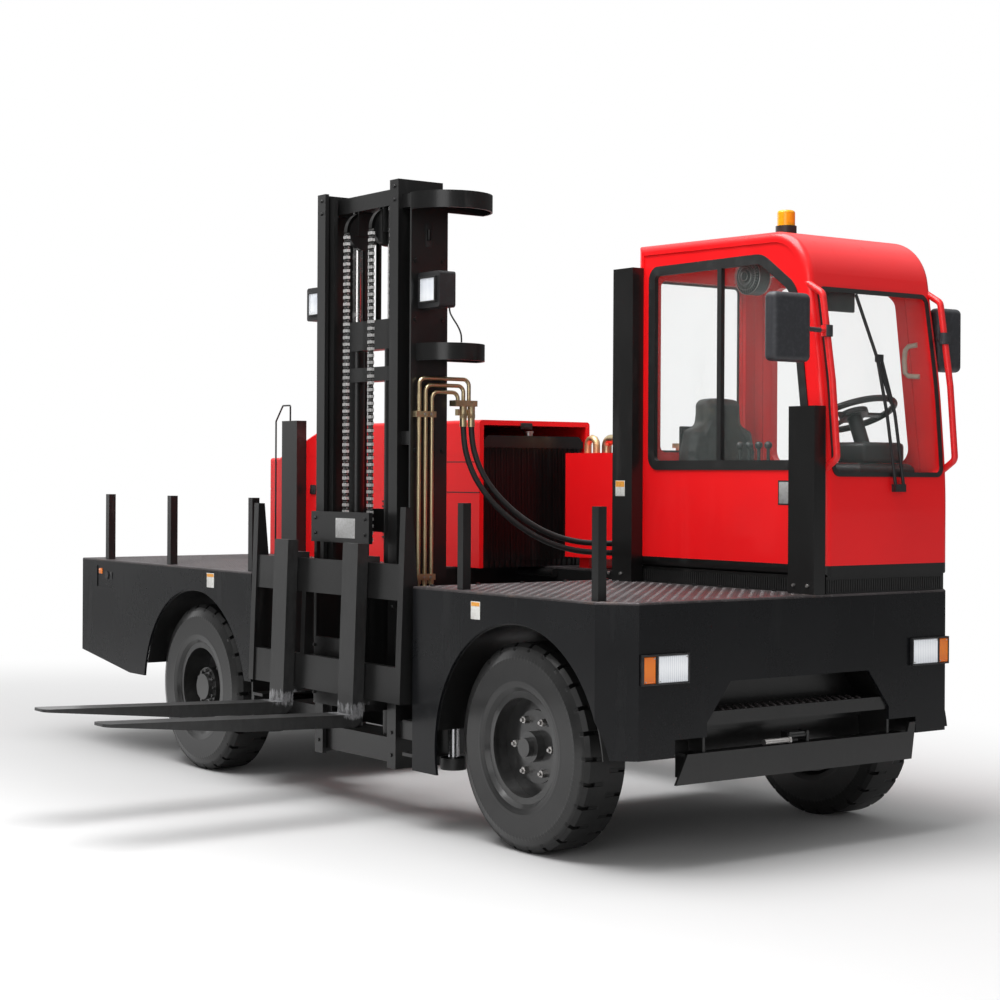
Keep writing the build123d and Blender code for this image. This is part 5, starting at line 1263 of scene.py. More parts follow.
@dataclass
class Hose:
    """One hydraulic hose from the mast's bulkhead block to the back of the cab."""

    name: str
    node: str
    route: tuple[Point, ...]
    length: float
    diameter: float = 0.026
    sides: int = 14

    def line(self) -> list[Vector]:
        """Reads the smooth middle line from a curve along the route.

        Returns:
            The line's points.
        """
        holder = strand(self.name + "_route", self.route)
        traced, data = evaluated(holder), holder.data
        points = [vertex.co.copy() for vertex in traced.vertices]
        bpy.data.objects.remove(holder)
        bpy.data.curves.remove(data)
        bpy.data.meshes.remove(traced)
        return points

    def build(self) -> None:
        """Makes the hose in place of its node, with no body of its own, and ties each crimped end to the body
        at that end.
        """
        points = self.line()
        hose = Form(self.name).tube(points, self.diameter / 2, self.sides).make(Slot.rubber_black, angle=60.0)
        hose.parent = None
        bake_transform(hose)
        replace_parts(hose, self.node)
        for name, place, way, body, lengths in (
            ("_mast_ferrule", points[0], Vector((0, 0, 1)), "trolley", (0.004, -0.045, 0.012, -0.006)),
            ("_cab_ferrule", points[-1], Vector((1, 0, 0)), "chassis", (-0.045, 0.002, -0.012, 0.004)),
        ):
            form = Form(self.name + name)
            form.rod(place + way * lengths[0], place + way * lengths[1], self.diameter * 0.62, 16)
            form.rod(place + way * lengths[2], place + way * lengths[3], self.diameter * 0.75, 6)
            form.make(Slot.zinc, body)


LOW_HOSE = Hose(
    "low_hose", "mast_hose_low",
    (
        (-1.577, 0.413, 1.773), (-1.577, 0.413, 1.690), (-1.572, 0.430, 1.588), (-1.556, 0.476, 1.478),
        (-1.528, 0.555, 1.374), (-1.492, 0.662, 1.282), (-1.455, 0.785, 1.210), (-1.425, 0.915, 1.170),
        (-1.398, 1.035, 1.158), (-1.373, 1.130, 1.156), (-1.349, 1.204, 1.156), (-1.298, 1.240, 1.156),
        (-1.241, 1.240, 1.156),
    ),
    1.285,
)
HIGH_HOSE = Hose(
    "high_hose", "mast_hose_high",
    (
        (-1.577, 0.457, 1.773), (-1.577, 0.457, 1.690), (-1.571, 0.476, 1.592), (-1.553, 0.523, 1.486),
        (-1.522, 0.600, 1.388), (-1.484, 0.700, 1.302), (-1.446, 0.815, 1.240), (-1.418, 0.935, 1.208),
        (-1.393, 1.045, 1.200), (-1.370, 1.135, 1.199), (-1.349, 1.204, 1.199), (-1.298, 1.240, 1.199),
        (-1.241, 1.240, 1.199),
    ),
    1.220,
)


# ----------------------------------------------------------------- CAD finishes


def two_tone(name: str, areas: Sequence[tuple[Point, Point]], **looks: Any) -> TwoToneFinish:
    """A finish of two colours, with the second inside the given boxes.

    Args:
        name: The finish's name.
        areas: Two layout corners of each box.
        **looks: The finish's other fields.

    Returns:
        The finish.
    """
    return TwoToneFinish(name, boxes=tuple((tuple(at(*low)), tuple(at(*high))) for low, high in areas), **looks)


JACK_ROD = two_tone(
    "jack_two_tone", [((-3.0, 0.0, 0.0), (-1.0, 0.3, 0.302))], outside=(0.5, 0.5, 0.52, 1.0), inside=grey(0.01),
    smooth=0.14, rough=0.45, metal=0.9,
)
TWO_TONE = {
    "front_jack_rod": JACK_ROD,
    "rear_jack_rod": JACK_ROD,
    "beacon": two_tone(
        "beacon_two_tone", [((-0.6, 1.1, 2.4), (-0.3, 1.5, 2.588))], outside=(0.95, 0.40, 0.01, 1.0),
        inside=grey(0.015), smooth=0.12, rough=0.4,
    ),
    "mirrors": two_tone(
        "mirror_two_tone",
        [((-0.2, 0.70, 1.9), (0.1, 1.066, 2.3)), ((-0.2, 1.84, 1.95), (-0.052, 2.05, 2.26)),
         ((-0.2, 1.10, 2.08), (0.1, 2.05, 2.13))],
        outside=(0.78, 0.014, 0.016, 1.0), inside=(0.022, 0.023, 0.027, 1.0),
    ),
}


@dataclass
class Shell:
    """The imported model's own nodes, each given the finish of its slot."""

    frame: dict[str, Any]

    def paint(self, node: str, finish: Coat) -> None:
        """Sets one node's finish in all its material slots.

        Args:
            node: The node's name.
            finish: Its finish.
        """
        piece = self.frame["nodes"][node]
        material = PALETTE.of(finish)
        if not piece.material_slots:
            piece.data.materials.append(material)
        for place in piece.material_slots:
            place.material = material

    def build(self) -> None:
        """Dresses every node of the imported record."""
        for row in self.frame["record"].get("subparts", []):
            node, slot_name = row.get("node"), row.get("material_slot", "black_paint")
            if node not in self.frame["nodes"]:
                continue
            finish: Coat = TWO_TONE.get(node, Slot[slot_name])
            if finish is Slot.tyre:
                low, high = span(node)
                finish = TyreFinish("rubber_of_" + node, centre=tuple((low + high) / 2))
            self.paint(node, finish)
            log.info("dressed %s with %s", node, slot_name)


# ------------------------------------------------------------------- the decks


@dataclass
class Decks:
    """Raised lozenges of the deck plates, edge bolts and blank stickers of the skirts."""

    top: float = 1.035
    pitch: float = 0.0295
    lozenge: Point = (0.0115, 0.0034, 0.0016)
    regions: tuple[tuple[float, float, float, float], ...] = (
        (-1.342, -0.022, 0.02, 1.10), (-1.342, -1.215, 1.115, 1.62), (-4.69, -2.785, 0.02, 1.185),
    )
    corner_cut: float = -0.15
    sticker_places: tuple[tuple[str, float, float, float, float], ...] = (
        ("front_sticker", -0.927, -0.863, 0.922, 0.995), ("rear_sticker", -3.225, -3.150, 0.94, 1.012),
    )
    band_share: float = 0.26

    def chequer(self) -> None:
        """Sets the lozenges in alternate turns over each deck."""
        places: list[Vector] = []
        turns: list[float] = []
        for x0, x1, y0, y1 in self.regions:
            for i in range(int((x1 - x0) / self.pitch)):
                for j in range(int((y1 - y0) / self.pitch)):
                    x, y = x0 + (i + 0.5) * self.pitch, y0 + (j + 0.5) * self.pitch
                    if x - y > self.corner_cut:
                        continue
                    places.append(at(x, y, self.top - 0.0004))
                    turns.append(math.pi / 4 if (i + j) % 2 else -math.pi / 4)
        Pattern("deck_lozenges", Stamp.LOZENGE, self.lozenge, chamfer=0.55).set_at(
            places, Slot.deck_steel, turns=turns
        )

    def stickers(self) -> None:
        """Lays the blank stickers and plates on the skirts."""
        for name, x0, x1, z0, z1 in self.sticker_places:
            band, edge = z1 - (z1 - z0) * self.band_share, 0.003
            blocks(name, [((x0, -0.0008, z0), (x1, 0.002, z1), 0.0003)], Extra.white_label)
            low, high = (x0 + edge, -0.0014, band), (x1 - edge, 0.001, z1 - edge)
            blocks(name + "_band", [(low, high, 0.0)], Extra.amber_label)

    def bolts(self) -> None:
        """Sets bolt heads along the deck joints."""
        rows = [at(-0.28 - 0.165 * k, 1.085, self.top) for k in range(7)]
        rows += [at(-1.325, 0.08 + 0.24 * k, self.top) for k in range(7)]
        rows += [at(-2.805, 0.08 + 0.21 * k, self.top) for k in range(6)]
        Pattern("deck_bolts", Stamp.HEX, (0.011, 0.011, 0.007), chamfer=0.86).set_at(rows, Slot.black_paint)

    def build(self) -> None:
        """Builds everything on the decks."""
        self.chequer()
        self.stickers()
        self.bolts()


@dataclass
class FrontPanel:
    """Bezels of the lamps, punched tread of the step and the tow pin."""

    lamps: tuple[tuple[float, float], ...] = ((0.131, 0.191), (0.203, 0.354), (1.610, 1.763), (1.767, 1.823))
    low: float = 0.727
    high: float = 0.831
    lip: float = 0.006
    depth: float = 0.0165
    inset: float = 0.008
    tread_rows: tuple[float, ...] = (-0.035, -0.065, -0.095, -0.125)
    tread_pitch: float = 0.04
    tread_top: float = 0.6
    shelf: float = 0.445
    pin_radius: float = 0.0125

    def bezels(self) -> None:
        """Frames each lamp with a thin black lip and two screws."""
        form, screws = Form("lamp_bezels"), []
        for y0, y1 in self.lamps:
            for a0, a1, b0, b1 in frame_bars((y0, y1), (self.low, self.high), self.lip):
                form.box(at(-0.004, a0, b0), at(self.depth, a1, b1), 0.0012)
            screws.append(at(0.0145, y0 + self.inset, self.low + self.inset))
            screws.append(at(0.0145, y1 - self.inset, self.high - self.inset))
        form.make(Slot.black_plastic)
        Pattern("lamp_screws", Stamp.ROUND, (0.0035, 0.0035, 0.0018), Facing.FRONT).set_at(
            screws, Extra.bolt_zinc
        )

    def tread(self) -> None:
        """Sets the raised rings of the punched step tread."""
        places = []
        for row, x in enumerate(self.tread_rows):
            start = 0.02 if row % 2 else 0.0
            places += [at(x, 0.575 + self.tread_pitch * k + start, self.tread_top) for k in range(20)]
        Pattern("step_studs", Stamp.ROUND, (0.010, 0.010, 0.004), chamfer=0.6).set_at(places, Slot.deck_steel)

    def pin(self) -> None:
        """Rests the bright tow pin on the shelf of the bumper."""
        radius, level = self.pin_radius, self.shelf + self.pin_radius
        form = Form("tow_pin").rod(at(-0.022, 0.785, level), at(-0.022, 0.925, level), radius, 20)
        form.rod(at(-0.022, 0.915, level), at(-0.022, 0.925, level), radius * 1.35, 20).make(Extra.bolt_zinc)

    def build(self) -> None:
        """Builds the front's detail."""
        self.bezels()
        self.tread()
        self.pin()


# --------------------------------------------------------------------- the cab


@dataclass
class CabTrim:
    """The cab's fan guard, grab handle, mirror glass, dials, boots, plates, bolts, strip and door lock."""

    fan_centre: Point = (-0.64, 1.298, 2.383)
    fan_radius: float = 0.078
    near: float = 1.112
    post: float = 1.04
    guard_rings: tuple[tuple[float, float], ...] = ((1.0, 0.0), (0.76, 0.010), (0.5, 0.016), (0.26, 0.020))
    handle_line: tuple[Point, ...] = (
        (-0.125, 1.795, 1.945), (-0.185, 1.79, 1.95), (-0.205, 1.79, 1.965), (-0.21, 1.79, 2.015),
        (-0.205, 1.79, 2.062), (-0.187, 1.79, 2.078), (-0.14, 1.795, 2.083),
    )
    rib_pitch: float = 0.0135
    rib_level: float = 1.066
    dial_radius: float = 0.031
    dial_places: tuple[float, ...] = (1.515, 1.60)
    dial_level: float = 1.616
    boot_rise: float = 0.011

    def fan(self) -> None:
        """Builds the wire guard over the cab fan, with rings and spokes on both faces."""
        centre = at(*self.fan_centre)
        form = Form("fan_guard")
        for radius, out in self.guard_rings:
            for side in (-1, 1):
                loop = ring(centre + Vector((0, side * (0.034 + out), 0)), self.fan_radius * radius, 28)
                form.tube(loop, 0.0013, 5, closed=True)
        form.make(Extra.bolt_zinc)
        spokes, turns = [], []
        for angle in (2 * math.pi * k / 36 for k in range(36)):
            for side in (-1, 1):
                spokes.append(centre + Vector((0.052 * math.cos(angle), side * 0.044, 0.052 * math.sin(angle))))
                turns.append(angle)
        Pattern("fan_spokes", Stamp.BOX, (0.05, 0.0014, 0.0014), Facing.LOAD_SIDE).set_at(
            spokes, Extra.bolt_zinc, turns=turns
        )

    def handle(self) -> None:
        """Bends the beige grab handle inside the windscreen's far post."""
        points = [at(*place) for place in self.handle_line]
        Form("grab_handle").tube(points, 0.011, 12).make(Extra.beige_plastic)

    def plates(self) -> None:
        """Lays the blank plates on the cab's side and the tall post."""
        near, post = self.near, self.post
        for name, x0, z0, x1, z1, back, out, deep, bevel, finish in (
            ("cab_plate", -0.280, 1.40, -0.197, 1.49, near, 0.0012, 0.003, 0.0004, Extra.metal_label),
            ("cab_plate_rim", -0.286, 1.394, -0.191, 1.496, near, 0.0006, 0.003, 0.0, Slot.black_plastic),
            ("post_plate", -1.262, 1.42, -1.197, 1.49, post, 0.0012, 0.003, 0.0004, Extra.white_label),
            ("post_plate_band", -1.260, 1.462, -1.199, 1.488, post, 0.0018, 0.002, 0.0, Extra.amber_label),
        ):
            blocks(name, [((x0, back - out, z0), (x1, back + deep, z1), bevel)], finish)

    def mirror_glass(self) -> None:
        """Lays silvered glass in the back of each mirror housing."""
        far_x = span("mirrors")[0].x - SHIFT.x
        for name, x, y0, y1 in (
            ("near_mirror_glass", -0.0066, 0.766, 0.940), ("far_mirror_glass", far_x, 1.866, 1.984),
        ):
            blocks(name, [((x - 0.0015, y0, 1.985), (x + 0.003, y1, 2.226), 0.0012)], Extra.mirror_glass)

    def strip(self) -> None:
        """Sets the ribs of the rubber strip under the cab."""
        pitch, level = self.rib_pitch, self.rib_level
        side = [at(-1.18 + pitch * k, 1.1195, level) for k in range(86)]
        front = [at(-0.0148, 1.13 + pitch * k, level) for k in range(51)]
        for name, size, places in (
            ("strip_ribs_side", (0.006, 0.005, 0.052), side),
            ("strip_ribs_front", (0.005, 0.006, 0.052), front),
        ):
            Pattern(name, Stamp.BOX, size).set_at(places, Slot.rubber_black)

    def bolts(self) -> None:
        """Sets the bolt heads at the foot of the cab and on the guard posts."""
        heads = [at(x, self.near, z) for x, z in ((-1.17, 1.125), (-1.17, 1.20), (-0.03, 1.13), (-0.03, 1.25))]
        heads += [at(x, self.post, 1.07) for x in (-1.306, -1.224, -0.12, -0.04)]
        Pattern("cab_bolts", Stamp.HEX, (0.008, 0.008, 0.006), Facing.LOAD_SIDE, 0.86).set_at(
            heads, Extra.bolt_zinc
        )

    def gauges(self) -> None:
        """Sets a pod with two blank dials and a row of switches on the dash."""
        low, high = at(-0.305, 1.45, 1.572), at(-0.12, 1.70, 1.66)
        Form("gauge_pod").box(low, high, 0.018).make(Slot.black_plastic, angle=50.0)
        radius = self.dial_radius
        for index, y in enumerate(self.dial_places):
            centre = at(-0.3045, y, self.dial_level)
            face = centre + Vector((-0.004, 0, 0))
            Form(f"dial_{index}").rod(centre, face, radius, 28).make(Extra.dial_face)
            loop = [face + Vector((0, radius * math.cos(a), radius * math.sin(a)))
                    for a in (2 * math.pi * k / 28 for k in range(28))]
            Form(f"dial_rim_{index}").tube(loop, 0.002, 6, closed=True).make(Extra.bolt_zinc)
        Pattern("dash_switches", Stamp.BOX, (0.006, 0.014, 0.02)).set_at(
            [at(-0.306, y, self.dial_level) for y in (1.645, 1.665)], Slot.black_plastic
        )

    def boots(self) -> None:
        """Sets a ribbed rubber boot at the foot of each control lever."""
        form, rise = Form("lever_boots"), self.boot_rise
        for index in range(4):
            foot = at(-0.640 + 0.058 * (index + 0.75), 1.105 + 0.0453 + 0.035, 1.5502)
            for step in range(3):
                start = foot + Vector((0, 0, rise * step))
                form.rod(start, start + Vector((0, 0, rise)), 0.024 - 0.005 * step, 18, 0.018 - 0.005 * step)
        form.make(Slot.rubber_black, angle=50.0)

    def door_handle(self) -> None:
        """Sets the lock case and pull of the door on the far side."""
        x, y, z = span("cab_door")[1].x - 0.10, 1.84 - 0.364 - 0.006, 1.46
        form = Form("door_lock_case")
        form.box(Vector((x - 0.05, y - 0.002, z - 0.028)), Vector((x + 0.03, y + 0.008, z + 0.028)), 0.004)
        form.rod(Vector((x + 0.012, y + 0.006, z)), Vector((x + 0.012, y + 0.014, z)), 0.011, 18)
        form.make(Slot.black_plastic, "cab_door_leaf")

    def build(self) -> None:
        """Builds the cab's trim."""
        self.fan()
        self.handle()
        self.plates()
        self.mirror_glass()
        self.strip()
        self.bolts()
        self.gauges()
        self.boots()
        self.door_handle()


# ------------------------------------------------------------ the driver's seat


@dataclass
class Pad:
    """One padded part of the seat, swollen by a short cloth run."""

    name: str
    outline: tuple[tuple[float, float], ...]
    low: float
    high: float
    upright: bool
    cap: float = 0.018
    voxel: float = 0.0065
    fill: float = 0.7
    pressure: float = 4.0
    frames: int = 20

    def start(self) -> Object:
        """Makes a slightly smaller closed form of the pad with rounded edges.

        Returns:
            The form's object.
        """
        mesh = bmesh.new()
        corners = []
        for a, b in self.outline:
            place = at(self.low, a, b) if self.upright else at(a, b, self.low)
            corners.append(mesh.verts.new(place))
        face = mesh.faces.new(corners)
        reach = self.high - self.low
        way = Vector((reach, 0, 0)) if self.upright else Vector((0, 0, reach))
        pushed = bmesh.ops.extrude_face_region(mesh, geom=[face])
        moved = [item for item in pushed["geom"] if isinstance(item, bmesh.types.BMVert)]
        bmesh.ops.translate(mesh, verts=moved, vec=way)
        bmesh.ops.recalc_face_normals(mesh, faces=mesh.faces)
        bmesh.ops.bevel(mesh, geom=list(mesh.edges), offset=0.022, segments=4, profile=0.6, affect="EDGES")
        data = bpy.data.meshes.new(self.name)
        mesh.to_mesh(data)
        mesh.free()
        return show(self.name, data)

    def build(self) -> None:
        """Makes the pad and swells it."""
        pad = self.start()
        modifier = pad.modifiers.new("remesh", "REMESH")
        modifier.mode, modifier.voxel_size = "VOXEL", self.voxel
        self.apply(pad)
        self.swell(pad)
        smooth = pad.modifiers.new("smooth", "SMOOTH")
        smooth.factor, smooth.iterations = 0.5, 4
        subdivide = pad.modifiers.new("subdivide", "SUBSURF")
        subdivide.levels = subdivide.render_levels = 1
        self.apply(pad)
        data = pad.data
        bpy.data.objects.remove(pad)
        settle(data, self.name, Slot.seat_vinyl, "chassis", 80.0)

    def apply(self, pad: Object) -> None:
        """Turns a pad into its plain mesh and takes its modifiers off.

        Args:
            pad: The pad.
        """
        data = evaluated(pad)
        pad.modifiers.clear()
        pad.data = data

    def swell(self, pad: Object) -> None:
        """Runs the cloth for a moment under inner pressure, with a limit on how far a point moves.

        Args:
            pad: The pad.
        """
        before = [vertex.co.copy() for vertex in pad.data.vertices]
        cloth = pad.modifiers.new("cloth", "CLOTH").settings
        cloth.use_pressure, cloth.uniform_pressure_force = True, self.pressure
        cloth.effector_weights.gravity = 0.0
        cloth.quality = 4
        for number in range(1, self.frames + 1):
            bpy.context.scene.frame_set(number)
        self.apply(pad)
        bpy.context.scene.frame_set(1)
        for vertex, old in zip(pad.data.vertices, before):
            move = vertex.co - old
            if move.length > self.cap:
                vertex.co = old + move.normalized() * self.cap


@dataclass
class DriverSeat:
    """Sprung base, padded cushion, winged back and the piping round them."""

    cushion: Pad = field(default_factory=lambda: Pad(
        "seat_cushion",
        ((-1.015, 1.275), (-0.575, 1.285), (-0.562, 1.33), (-0.562, 1.66), (-0.575, 1.705), (-1.015, 1.715)),
        1.425, 1.505, False,
    ))
    back: Pad = field(default_factory=lambda: Pad(
        "seat_back",
        ((1.28, 1.43), (1.71, 1.43), (1.72, 1.62), (1.70, 1.72), (1.63, 1.76), (1.61, 1.865), (1.58, 1.885),
         (1.41, 1.885), (1.38, 1.865), (1.36, 1.76), (1.29, 1.72), (1.27, 1.62)),
        -1.118, -1.042, True,
    ))
    piping: tuple[tuple[float, float], ...] = (
        (-1.025, 1.262), (-0.57, 1.272), (-0.552, 1.33), (-0.552, 1.66), (-0.57, 1.718), (-1.025, 1.728),
    )

    def build(self) -> None:
        """Builds the seat in the place of its plain solid."""
        self.cushion.build()
        self.back.build()
        base = Form("seat_base")
        for step in range(5):
            z = 1.1505 + 0.05 * step
            inset = 0.06 + (0.012 if step % 2 else 0.0)
            base.box(at(-1.03 + inset, 1.255 + inset, z), at(-0.55 - inset, 1.735 - inset, z + 0.05), 0.006)
        base.box(at(-1.02, 1.27, 1.40), at(-0.56, 1.72, 1.432), 0.006)
        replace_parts(base.make(Slot.rubber_black), "seat")
        loop = [at(x, y, 1.466) for x, y in self.piping]
        Form("seat_piping").tube(loop, 0.004, 8, closed=True).make(Slot.rubber_black, angle=80.0)
        blocks("seat_back_shell", [((-1.128, 1.30, 1.43), (-1.112, 1.69, 1.74), 0.006)], Slot.black_plastic)


# ---------------------------------------------------------------- running gear


@dataclass
class Wheel:
    """Bead ring, valve stem and plated fasteners of one wheel."""

    axle: str
    side: str
    nut_circle: float = 0.118
    bolt_circle: float = 0.082
    body: str = field(init=False)
    way: int = field(init=False)
    turn: Facing = field(init=False)
    middle: Vector = field(init=False)
    wall: float = field(init=False)

    def __post_init__(self) -> None:
        """Reads the wheel's place from its tyre."""
        near = self.side == "near"
        self.body, self.way = f"{self.axle}_wheel_{self.side}", -1 if near else 1
        self.turn = Facing.LOAD_SIDE if near else Facing.FAR_SIDE
        low, high = span(f"{self.axle}_tyre_{self.side}")
        self.middle = (low + high) / 2
        self.wall = low.y if near else high.y

    def bead(self) -> None:
        """Lays a raised ring at the foot of the tyre wall."""
        profile = [(0.231, 0.0), (0.236, 0.005), (0.242, 0.006), (0.248, 0.003), (0.25, 0.0), (0.24, -0.004)]
        foot = Vector((self.middle.x, self.wall - self.way * 0.016, self.middle.z))
        form = Form(f"{self.body}_bead_ring").lathe(profile, foot, Vector((0, self.way, 0)), 64)
        form.make(Slot.rubber_black, self.body)

    def valve(self) -> None:
        """Stands the valve stem in the rim."""
        foot = Vector((self.middle.x + 0.152, self.wall - self.way * 0.075, self.middle.z + 0.105))
        stem = Form(f"{self.body}_valve")
        for start, end, radius in ((0.0, 0.04, 0.0042), (0.036, 0.05, 0.0058)):
            stem.rod(foot + Vector((0, self.way * start, 0)), foot + Vector((0, self.way * end, 0)), radius, 10)
        stem.make(Slot.rubber_black, self.body)

    def fasteners(self) -> None:
        """Covers the six nuts and studs of a front wheel, or washers and heads on the bolts of a drive hub."""
        if self.axle == "front":
            face, radius, count, finish = 0.030, self.nut_circle, 6, Extra.bolt_zinc
            rows = (
                ("nuts", Stamp.HEX, (0.0168, 0.0168, 0.0212), 0.9, 0.0),
                ("studs", Stamp.ROUND, (0.0085, 0.0085, 0.012), 0.85, 0.0205),
            )
        else:
            face, radius, count, finish = 0.0658, self.bolt_circle, 12, Slot.rim_paint
            rows = (
                ("washers", Stamp.ROUND, (0.013, 0.013, 0.003), 0.95, 0.0),
                ("heads", Stamp.HEX, (0.0098, 0.0098, 0.004), 0.86, 0.0095),
            )
        foot = Vector((self.middle.x, self.middle.y + self.way * face, self.middle.z))
        for name, stamp, size, chamfer, out in rows:
            Pattern(f"{self.body}_{name}", stamp, size, self.turn, chamfer).set_at(
                ring(foot + Vector((0, self.way * out, 0)), radius, count), finish, self.body
            )

    def build(self) -> None:
        """Builds the small parts of the wheel."""
        self.bead()
        self.valve()
        self.fasteners()


# -------------------------------------------------------------------- the mast


@dataclass
class MastTrim:
    """The mast's chain plates and pins, lamp lenses, cable, bolts, roller with a painted-shade slot, pipe nuts
    and blank plate.
    """

    mast_x: float = -2.040
    chain_gap: float = 0.106
    chain_y: float = 0.1482
    chain_z: float = 1.2
    wheel_z: float = 2.635
    pitch: float = 0.031
    face: float = 0.0507
    pipe_pitch: float = 0.034
    rim: float = 0.007
    cable_width: float = 0.0076
    cable_route: tuple[Point, ...] = (
        (-1.446, 0.244, 2.247), (-1.446, 0.244, 2.226), (-1.438, 0.258, 2.197), (-1.432, 0.280, 2.165),
        (-1.434, 0.298, 2.135), (-1.440, 0.305, 2.112), (-1.441, 0.306, 2.095),
    )

    def chains(self) -> None:
        """Sets the bright outer plates and pins on the two leaf chains."""
        plates, pins = [], []
        for side in (-1, 1):
            x = self.mast_x + side * self.chain_gap
            for k in range(int((self.wheel_z - self.chain_z) / self.pitch)):
                z = self.chain_z + self.pitch * (k + 0.5)
                plates += [at(x + shift, self.chain_y, z) for shift in (-0.0136, 0.0136)]
                plates += [at(x + shift, self.chain_y, z) for shift in (-0.0045, 0.0045)]
                pins.append(at(x, self.chain_y, z + self.pitch / 2) + Vector((-0.01525, 0, 0)))
        Pattern("chain_plates", Stamp.BOX, (0.0038, 0.0172, 0.0140)).set_at(
            plates, Extra.chain_plate, "inner_lift"
        )
        Pattern("chain_pins", Stamp.ROUND, (0.0046, 0.0046, 0.0305), Facing.FRONT, 1.0).set_at(
            pins, Extra.bolt_zinc, "inner_lift"
        )

    def lamps(self) -> None:
        """Builds a ribbed lens and a black rim round it for each working lamp."""
        for name, x0, x1 in (("front_mast_lamp", -1.600, -1.430), ("rear_mast_lamp", -2.558, -2.388)):
            low, high = at(x0 + 0.029, 0.1722, 2.275), at(x1 - 0.029, 0.1755, 2.375)
            Form(name + "_lens").box(low, high, 0.0012).make(Slot.lamp_clear, "trolley")
            rim = Form(name + "_rim")
            for a0, a1, b0, b1 in frame_bars((low.x, high.x), (low.z, high.z), self.rim):
                rim.box(Vector((a0, low.y - 0.004, b0)), Vector((a1, low.y + 0.008, b1)), 0.0014)
            rim.make(Slot.rubber_black, "trolley")

    def cable(self) -> None:
        """Hangs the thin lamp cable down to the lower hose guide."""
        cable = strand("lamp_cable", self.cable_route)
        cable.data.bevel_depth = self.cable_width / 2
        cable.data.bevel_resolution = 3
        cable.data.use_fill_caps = True
        cable.data.materials.append(PALETTE.of(Slot.rubber_black))
        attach(cable, "trolley")

    def plate(self) -> None:
        """Lays the blank plate on the carriage and its four rivets."""
        face = self.face
        blocks("carriage_plate_blank", [
            ((-2.072, face - 0.0012, 1.222), (-1.906, face + 0.003, 1.312), 0.0004),
        ], Extra.metal_label, "carriage_body")
        Pattern("carriage_rivets", Stamp.ROUND, (0.0035, 0.0035, 0.0016), Facing.LOAD_SIDE, 0.6).set_at(
            [at(x, face - 0.0012, z) for x in (-2.064, -1.914) for z in (1.229, 1.305)], Extra.bolt_zinc,
            "carriage_body",
        )

    def bolts(self) -> None:
        """Sets bolt heads on the side plate's brackets, the carriage and the trolley arms."""
        plate = [at(-1.6, y, z) for y in (0.17, 0.315) for z in (0.56, 1.62, 2.20, 2.46, 2.73)]
        middle, face = self.mast_x, self.face
        front = [at(middle + dx, face, z) for dx in (-0.215, 0.215) for z in (0.50, 0.60, 0.72, 1.24, 1.31)]
        column = [at(middle + dx, 0.135, z) for dx in (-0.313, 0.313) for z in (0.26, 0.36, 0.92, 2.74, 2.80)]
        for name, size, facing, places, body in (
            ("side_plate_bolts", (0.011, 0.011, 0.008), Facing.FRONT, plate, "trolley"),
            ("carriage_bolts", (0.009, 0.009, 0.007), Facing.LOAD_SIDE, front, "carriage_body"),
            ("column_bolts", (0.0095, 0.0095, 0.006), Facing.LOAD_SIDE, column, "trolley"),
        ):
            Pattern(name, Stamp.HEX, size, facing, 0.86).set_at(places, Slot.black_paint, body)

    def roller(self) -> None:
        """Shows the guide roller behind its slot in the side plate; the slot is a thin dark sheet, painted
        shade for the opening.
        """
        # Painted shade: a black sheet stands in for the dark inside of the slot.
        slot = [((-1.5995, 0.219, 2.523), (-1.5985, 0.256, 2.627), 0.0002)]
        blocks("side_plate_slot", slot, Slot.rubber_black, "trolley")
        wheel = Form("side_plate_roller").rod(at(-1.5975, 0.2375, 2.552), at(-1.5975, 0.2375, 2.60), 0.010, 20)
        wheel.make(Slot.chain_steel, "trolley")

    def pipe_nuts(self) -> None:
        """Sets the union nuts and clamp screws of the pipes."""
        form, spread = Form("pipe_unions"), self.pipe_pitch
        for index in range(3):
            for foot, rise in (
                (at(-1.577, 0.175 + spread * index, 1.03), 0.03),
                (at(-1.577, 0.443 - 0.03 * index, 1.778), 0.028),
            ):
                form.rod(foot, foot + Vector((0, 0, rise)), 0.0135, 6)
        form.make(Slot.zinc, "trolley")
        screws = [at(-1.5572, 0.175 + spread * index + 0.017, z) for z in (1.059, 1.780) for index in range(2)]
        Pattern("clamp_screws", Stamp.HEX, (0.006, 0.006, 0.005), Facing.FRONT, 0.86).set_at(
            screws, Extra.bolt_zinc, "trolley"
        )

    def build(self) -> None:
        """Builds the mast's trim."""
        self.chains()
        self.lamps()
        self.cable()
        self.plate()
        self.bolts()
        self.roller()
        self.pipe_nuts()


# ------------------------------------------------------- hood, radiator, tank


